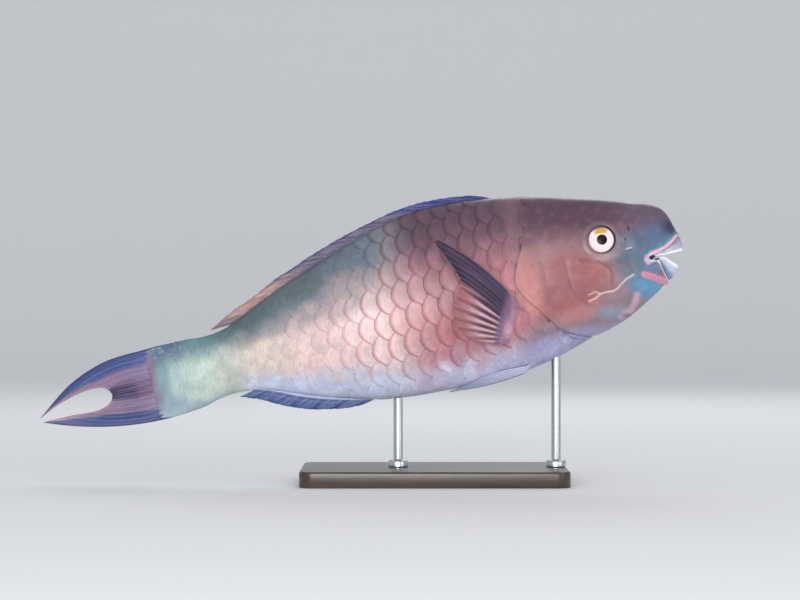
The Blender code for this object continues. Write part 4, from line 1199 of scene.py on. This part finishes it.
def pectoral_fin(name, side):
    across, along = fin_grid(PECTORAL_RAYS * 16, 80)
    ridge = ray_ridges(across, along, PECTORAL_RAYS, 0.2, 0.35, 0.22)
    foot, tip = [even_share(smooth_rows(rows, 10), across) for rows in (PECTORAL_ROOT, PECTORAL_TIPS)]
    reach = np.linalg.norm(tip - foot, axis=-1)
    tip = tip + (foot - tip) * ((1 - ridge) * PECTORAL_RAGGED * ease(across, 0.05, 0.3))[..., None]
    place = foot + (tip - foot) * along[..., None]
    place += np.array(PECTORAL_BOW) * (along * (1 - along) * (1 - across) ** 2)[..., None]
    away = reach * along
    lift = PECTORAL_ROOT_RISE * ease(away / PECTORAL_ROOT_LENGTH, 0, 1) - PECTORAL_SUNK
    out = flank(foot[..., 0], foot[..., 1]) + lift + away * math.sin(PECTORAL_SPREAD)
    pleat = PECTORAL_PLEAT * ease(along, 0.2, 0.6)
    out = out + pleat * np.sin(across * (PECTORAL_RAYS - 1) * 2 * math.pi)
    middle = np.stack([place[..., 0], side * out, place[..., 1]], -1)
    fleshy = np.exp(-((away / PECTORAL_ROOT_LENGTH) ** 2)) * np.sin(math.pi * (0.1 + 0.8 * across))
    half = fin_thickness(along, ridge, PECTORAL_ROOT_HALF_THICKNESS * fleshy)

    web = 1 - ridge
    dark = 1 - ease(across + 0.12 * along - 0.05 * web, 0.50, 0.59)
    lower = ease(across, 0.40, 0.54)
    paint = layered(
        # The flank's colours as seen through the web, darkened: the web's tint and painted shade
        body_paint(place[..., 0], place[..., 1]) * PECTORAL_WEB_TINT_AND_SHADE,
        ((178, 130, 136), ridge * (0.75 - 0.45 * ease(along, 0.5, 1.0))),
        ((66, 42, 60), web * (1 - ease(along, 0.5, 0.85)) * (1 - 0.25 * ease(across, 0.6, 0.9))),
        ((206, 168, 176), ridge * lower * between(along, 0.1, 0.25, 0.5, 0.9) * 0.9),
        ((74, 53, 76), dark),
        # A painted blue sheen at the blade's base
        ((70, 66, 96), dark * patch(across, along, (0.08, 0.26), (0.09, 0.2), 0.8)),
        ((98, 82, 112), dark * patch(across, along, (0.22, 0.54), (0.06, 0.15), 0.7) * 0.8),
        ((90, 70, 96), dark * patch(across, along, (0.3, 0.7), (0.05, 0.12), 0.7) * 0.6),
        ((42, 32, 50), dark * patch(across, along, (0.28, 0.45), (0.05, 0.3), 0.8) * 0.8),
        ((42, 30, 46), dark * web * 0.5),
        ((46, 38, 56), dark * ease(along, 0.8, 0.95) * 0.8),
        # The blade's rays a little lighter: their own colour and a painted highlight on the ridges
        ((96, 80, 110), dark * ridge * 0.3 * ease(across, 0.12, 0.26) * (1 - ease(along, 0.5, 0.8))),
        ((142, 104, 132), (1 - ease(across, 0.006, 0.018)) * ease(along, 0.12, 0.2) * 0.6),
        ((150, 112, 138), 1 - ease(away, 8, 16)),
        ((168, 120, 146), (1 - ease(away, 4, 9)) * 0.8),
        # The fleshy root: painted shadow towards the rays, painted highlights on its middle, painted
        # shade where it meets the flank
        ((100, 72, 102), patch(across, away, (0.3, 11), (0.25, 3.2), 0.6) * 0.6),
        ((104, 88, 116), patch(across, away, (0.72, 12), (0.3, 2.4), 0.7) * 0.7),
        ((210, 166, 178), patch(across, away, (0.66, 5.5), (0.16, 2.6), 0.8) * 0.8),
        ((200, 150, 168), patch(across, away, (0.3, 5), (0.12, 2.0), 0.8) * 0.5),
        ((122, 76, 98), (1 - ease(away, 1.5, 3.4)) * 0.6),
    )
    add_fin(name, middle, half, across, along, paint)


pectoral_fin("pectoral_fin_right", -1)
pectoral_fin("pectoral_fin_left", 1)

# Pelvic fins
# A pair of small fins folded back flat along the belly, pale blue with a deeper blue leading ray.
PELVIC_RAYS = 6
PELVIC_START, PELVIC_LENGTHS = 127.0, (69.0, 44.0)
PELVIC_ROOT_TURNS, PELVIC_SPREAD_TURNS = (166.0, 158.0), (171.0, 147.0)
PELVIC_SUNK, PELVIC_RISE, PELVIC_TIP_RISE, PELVIC_FOOT_HALF_THICKNESS = 1.5, 3.0, 0.5, 1.3


def pelvic_fin(name, side):
    across, along = fin_grid(PELVIC_RAYS * 18, 70)
    ridge = ray_ridges(across, along, PELVIC_RAYS, 0.18, 0.3, 0.24)
    length = PELVIC_LENGTHS[0] + across * (PELVIC_LENGTHS[1] - PELVIC_LENGTHS[0])
    spread = np.sin(np.minimum(along * 1.25, 1.0) * math.pi / 2) * (1 - 0.35 * along)
    outer = PELVIC_ROOT_TURNS[0] + spread * (PELVIC_SPREAD_TURNS[0] - PELVIC_ROOT_TURNS[0])
    inner = PELVIC_ROOT_TURNS[1] + spread * (PELVIC_SPREAD_TURNS[1] - PELVIC_ROOT_TURNS[1])
    back = PELVIC_START + length * along * (1 - 0.03 * (1 - ridge))
    turn = np.radians(outer + across * (inner - outer))
    spot = skin_at(back, turn)
    lift = PELVIC_RISE * np.minimum(along * 6, 1.0) - PELVIC_SUNK + PELVIC_TIP_RISE * along
    away = spot * [0, 1, 0.8]
    away /= np.linalg.norm(away, axis=-1, keepdims=True)
    middle = (spot + away * lift[..., None]) * [1, side, 1]
    half = fin_thickness(along, ridge, PELVIC_FOOT_HALF_THICKNESS * np.exp(-((along * 9) ** 2)))
    paint = layered(
        tone(186, 190, 216),
        ((220, 222, 236), ridge * 0.7),
        ((150, 164, 204), ease(along, 0.5, 0.9) * 0.5),
        ((72, 90, 160), 1 - ease(across, 0.03, 0.10)),
        ((176, 168, 198), 1 - ease(along, 0.05, 0.16)),
    )
    add_fin(name, middle, half, across, along, paint)


pelvic_fin("pelvic_fin_right", -1)
pelvic_fin("pelvic_fin_left", 1)

# Stand rods
# Two upright rods of brushed steel, each turned in one piece with its low collar and stood in the base.
# Their tops run up into the belly that they carry.
ROD_RADIUS, COLLAR_RADIUS, COLLAR_HEIGHT, COLLAR_FOOT_EDGE = 0.0035, 0.0075, 0.005, 0.0004
# The collar's rounded shoulder and the step up to the rod: how far from each radius, and from the top
COLLAR_SHOULDER = ((0, -0.0012), (-0.0002, -0.0006), (-0.0006, -0.0002), (-0.0012, 0))
ROD_STEP = ((0.0009, 0), (0.0003, 0.0003), (0, 0.0009))


def stand_rod(name):
    low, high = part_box(name)
    middle = (low + high) / 2
    collar = low.z + COLLAR_HEIGHT
    profile = [(0, low.z), (COLLAR_RADIUS - COLLAR_FOOT_EDGE, low.z)]
    profile.append((COLLAR_RADIUS, low.z + COLLAR_FOOT_EDGE))
    for radius, corner in ((COLLAR_RADIUS, COLLAR_SHOULDER), (ROD_RADIUS, ROD_STEP)):
        profile += [(radius + out, collar + up) for out, up in corner]
    profile += [(ROD_RADIUS, high.z), (0, high.z)]
    mesh = bmesh.new()
    line = [mesh.verts.new((radius, 0, height)) for radius, height in profile]
    edges = [mesh.edges.new(pair) for pair in zip(line, line[1:])]
    bmesh.ops.spin(mesh, geom=line + edges, axis=(0, 0, 1), steps=64, angle=2 * math.pi, use_merge=True)
    bmesh.ops.remove_doubles(mesh, verts=mesh.verts, dist=1e-6)
    bmesh.ops.recalc_face_normals(mesh, faces=mesh.faces)
    bmesh.ops.translate(mesh, vec=(middle.x, 0, 0), verts=mesh.verts)
    piece = add_piece(name + "_steel", mesh)
    piece.data.set_sharp_from_angle(angle=math.radians(35))
    steel = Finish(name + "_brushed", 0.28, Metallic=1.0)
    brushed = steel.noise(steel.stretch(steel.place(), (40.0, 40.0, 6000.0)), 1.0, 3.0)
    steel.colour(steel.ramp(brushed, (0.3, (0.44, 0.44, 0.45)), (0.7, (0.62, 0.62, 0.63))))
    steel.bump(brushed, 0.2, 0.00005)
    piece.data.materials.append(steel.material)
    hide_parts(name)
    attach(piece, "root")


stand_rod("stand_rod_front")
stand_rod("stand_rod_rear")

# Scales
# Large thin plates like those cast from a real fish, set in staggered rows from gill cover to tail.
# Each is rooted in the skin and lifts a little towards its round rear edge, which lies on the next two.
SCALE_AXIS = ((95, 20), (125, 16), (170, 8), (220, 4), (270, 4), (320, 5), (345, 5.5), (400, 5))
SCALE_PITCHES = ((95, 12.0), (130, 12.6), (220, 12.4), (300, 11.6), (345, 9.6), (400, 7.0))
SCALE_HEIGHTS = ((95, 18.6), (170, 19.0), (230, 17.8), (300, 13.8), (345, 10.6), (400, 9.2))
SCALE_ROOT_SHARE, SCALE_TOP_SHARE = 0.42, 0.70
SCALE_SUNK, SCALE_LIFT, SCALE_WALL = -0.27, 0.43, 0.15
SCALE_DOME, SCALE_RAGGED, SCALE_CORNER = 0.16, 0.012, 0.22
SCALE_SHADE_RANGE, SCALE_RIM_LIGHT, SCALE_PATCH = 0.13, 0.22, 0.95
SCALES_START, SCALES_END, SCALE_ROWS_EACH_WAY = 96.0, 404.0, 7
NAPE, NAPE_OVERLAP, BARE_BY_GILL = (112.0, 42.0), 6.0, 0.55
ARC_REACH = 112.0
PALE_BAND_AND_HIGHLIGHT_TINT, EDGE_TINT = (1.13, 1.11, 1.11, 1), (0.80, 0.54, 0.57, 1)


def flank_unwrap():
    """Stations, arc lengths down from the scale axis, and a table of the turn at each pair of them."""
    stations = np.arange(80.0, 422.0, 1.0)
    arcs = np.arange(-ARC_REACH, ARC_REACH + 0.5, 1.0)
    turns = np.linspace(-0.8, math.pi + 0.8, 900)
    axis = smooth_rows(SCALE_AXIS, 8)
    starts = turn_of(stations, np.interp(stations, axis[:, 0], axis[:, 1]))
    table = np.zeros((len(stations), len(arcs)))
    for row, (back, start) in enumerate(zip(stations, starts)):
        run = arc_lengths(skin_at(np.full(turns.shape, back), turns)[:, 1:])
        table[row] = np.interp(arcs, run - np.interp(start, turns, run), turns)
    return stations, arcs, table


STATION_LIST, ARC_LIST, TURN_TABLE = flank_unwrap()


def turn_at(back, arc):
    """The turn this far down from the scale axis, at this station."""
    row = np.clip(back - STATION_LIST[0], 0, len(STATION_LIST) - 1.001)
    column = np.clip(arc - ARC_LIST[0], 0, len(ARC_LIST) - 1.001)
    r, c = row.astype(int), column.astype(int)
    fr, fc = row - r, column - c
    first = TURN_TABLE[r, c] * (1 - fc) + TURN_TABLE[r, c + 1] * fc
    second = TURN_TABLE[r + 1, c] * (1 - fc) + TURN_TABLE[r + 1, c + 1] * fc
    return first * (1 - fr) + second * fr


def scale_grid():
    """Shares along and across one plate, closer together at its borders, with its thickness there."""
    along = np.array([0, 0.34, 0.62, 0.82, 0.93, 0.98, 1.0])
    across = np.array([-1, -0.9, -0.66, -0.38, 0, 0.38, 0.66, 0.9, 1])
    on, over = np.meshgrid(along, across, indexing="ij")
    border = (on == 0) | (on == 1) | (np.abs(over) == 1)
    return on, over, np.where(border, 0.0, 1.0)


def edge_strength(back, height):
    """How strongly the rear edges of the scales are drawn at this place on the flank."""
    rosy = between(back, 108, 130, 212, 275) * ease(height, -44, -22)
    teal = ease(back, 205, 235) * ease(height + 0.16 * (back - 250), 26, 40)
    faint = between(back, 190, 240, 280, 330) * 0.24 * ease(height, -42, -12)
    return np.clip(0.85 * rosy + faint, 0, 1) * (1 - 0.85 * teal) + 0.05


def place_scales():
    """Station, arc and size of every scale on one side."""
    line = np.arange(SCALES_START - 20, SCALES_END + 20, 0.25)
    pitches = smooth_rows(SCALE_PITCHES, 8)
    counted = np.concatenate([[0], np.cumsum(0.25 / np.interp(line[1:], pitches[:, 0], pitches[:, 1]))])
    heights = smooth_rows(SCALE_HEIGHTS, 8)
    gill = gill_loop()
    gill_turns, gill_backs = gill[:, 1], gill[:, 0]
    spots = []
    nape_turn = turn_of(*np.array(NAPE))
    for row in range(-SCALE_ROWS_EACH_WAY, SCALE_ROWS_EACH_WAY + 1):
        for count in np.arange(0, counted[-1], 1.0) + (0.5 if row % 2 else 0.0):
            back = float(np.interp(count, counted, line))
            tall = float(np.interp(back, heights[:, 0], heights[:, 1]))
            pitch = float(np.interp(back, pitches[:, 0], pitches[:, 1]))
            arc = row * tall
            turn = float(turn_at(np.array(back), np.array(arc)))
            if not (-0.06 < turn < math.pi + 0.06) or back > SCALES_END - 5:
                continue
            if abs(arc) > ARC_REACH - tall:
                continue
            edge = float(np.interp(turn, gill_turns, gill_backs))
            if turn < nape_turn:
                edge -= NAPE_OVERLAP
            if back + BARE_BY_GILL * pitch < edge:
                continue
            spots.append((back, arc, pitch, tall))
    return spots


def scale_sheet(name, side, spots, seed):
    """One side's scales between two stations as a single mesh, with a patch of the unwrap for each."""
    draw = np.random.default_rng(seed)
    on, over, wall = scale_grid()
    rows, columns = on.shape
    mesh = bmesh.new()
    paint_layer = mesh.verts.layers.float_color.new("paint")
    marks_layer = mesh.verts.layers.float_color.new("marks")
    uv_layer = mesh.loops.layers.uv.new("OFBake")
    patches = {}
    for back, arc, pitch, tall in spots:
        jitter = draw.uniform(-1, 1, 6)
        back, arc = back + 0.25 * jitter[0], arc + 0.3 * jitter[1]
        slanted = np.clip((np.abs(over) - 0.16) / 0.84, 0, 1)
        rear = 1.04 - 0.58 * slanted ** (1.3 + 0.12 * jitter[2])
        rear -= SCALE_CORNER * ease(np.abs(over), 0.8, 1.0)
        rear += SCALE_RAGGED * np.sin(over * 17 + 9 * jitter[3]) * (1 - np.abs(over))
        start = -SCALE_ROOT_SHARE
        reach = start + (rear - start) * on
        stations = back + pitch * reach * (1 + 0.03 * jitter[4])
        arcs = arc + tall * SCALE_TOP_SHARE * over * (0.90 + 0.10 * on)
        turns = turn_at(stations, arcs)
        spot_height = float(skin_at(np.array(back), turn_at(np.array(back), np.array(arc)))[2])
        proud = max(1 - 0.62 * ease(back, 205, 300) - 0.6 * (1 - ease(spot_height, -45, -18)), 0.36)
        sunk = SCALE_SUNK * (0.4 + 0.6 * proud)
        rises = np.clip((reach - start) / (1.06 - start), 0, 1) ** 0.9
        lift = sunk + (SCALE_LIFT * proud - sunk) * rises
        lift = lift + SCALE_DOME * (1 - over**2) * np.sin(np.pi * on)
        lift = lift * (0.8 + 0.08 * jitter[5]) - COAT_DEPTH + 0.06 - 0.5 * ease(stations, 396, 406)
        bare, normal = skin_at(stations, turns), outward(stations, turns)
        upper = bare + normal * (lift + 0.5 * SCALE_WALL * wall)[..., None]
        lower = bare + normal * (lift - 0.5 * SCALE_WALL * wall)[..., None]
        paint = body_paint(upper[..., 0], upper[..., 2])
        paint *= 1 + SCALE_SHADE_RANGE * draw.uniform(-0.5, 0.5)
        strength = np.clip(float(edge_strength(np.array(back), np.array(spot_height))), 0, 1)
        # Paler rims where the edges are faint: the plates' own pale rims and painted light against the
        # edge shade
        paint *= (1 + SCALE_RIM_LIGHT * (1 - strength) * ease(on, 0.9, 0.99))[..., None]
        flat = [back + SCALE_PATCH * pitch * (on - 0.5), arc + SCALE_PATCH * tall * over / 2]
        carried = paint.reshape(-1, 3), on.reshape(-1), np.stack(flat, -1).reshape(-1, 2)
        for sheet in (upper, lower):
            grid = bmesh.ops.create_grid(mesh, x_segments=columns - 1, y_segments=rows - 1, size=1)
            places = in_place(sheet * [1, side, 1]).reshape(-1, 3)
            for vert, place, colour, share, spot in zip(grid["verts"], places, *carried):
                vert.co = place
                vert[paint_layer] = (*colour, 1)
                vert[marks_layer] = (share, 0, strength, 1)
                patches[vert] = spot
    low = np.array([SCALES_START - 10, -ARC_REACH])
    span = max(SCALES_END + 10 - low[0], 2 * ARC_REACH)
    for face in mesh.faces:
        for loop in face.loops:
            loop[uv_layer].uv = (patches[loop.vert] - low) / span
    bmesh.ops.remove_doubles(mesh, verts=mesh.verts, dist=2e-6)
    bmesh.ops.recalc_face_normals(mesh, faces=mesh.faces)
    return add_piece(name, mesh)


def scale_finish():
    """Painted plates: dark rear edges, a pale band before them, fine growth lines, a pearly gloss."""
    finish = Finish("painted_scales", 0.45, Coat_Weight=0.15, Coat_Roughness=0.18)
    place = finish.place()
    streak = finish.noise(finish.stretch(place, (900.0, 500.0, 260.0), (0, NOSE_UP, 0)), 1.0, 4.0, 0.6)
    cloud = finish.noise(place, 130.0, 4.0)
    light = finish.ramp(streak, (0.3, (0.84, 0.83, 0.85)), (0.7, (1.12, 1.11, 1.10)))
    broad = finish.ramp(cloud, (0.3, (0.84, 0.86, 0.89)), (0.7, (1.13, 1.11, 1.09)))
    colour = finish.paint(light, broad)
    marks = finish.add("SeparateXYZ", Vector=finish.read("marks", "Vector")).outputs
    along = finish.sum("MULTIPLY_ADD", cloud, 0.06, marks["X"])
    none, full = (0, 0, 0), (1, 1, 1)
    # The pale band before each rear edge: the plate's own pale band and a painted highlight on its
    # lifted rear
    band = finish.ramp(along, (0.50, none), (0.76, full), (0.84, full), (0.91, none))
    edge = finish.ramp(along, (0.84, none), (0.95, full))
    for line, tint in ((band, PALE_BAND_AND_HIGHLIGHT_TINT), (edge, EDGE_TINT)):
        colour = finish.times(colour, tint, finish.sum("MULTIPLY", line, marks["Z"]))
    finish.colour(colour)
    finish.bump(streak, 0.35, 0.00015)
    return finish.material


def scales():
    material = scale_finish()
    spots = place_scales()
    parts = (("fore", 0, 190), ("mid", 190, 270), ("aft", 270, 500))
    for side, side_name in ((-1, "right"), (1, "left")):
        for number, (part, start, end) in enumerate(parts):
            chosen = [spot for spot in spots if start <= spot[0] < end]
            piece = scale_sheet(f"scales_{side_name}_{part}", side, chosen, 40 + number + 10 * side)
            piece.data.materials.append(material)
            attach(piece, "root")


scales()
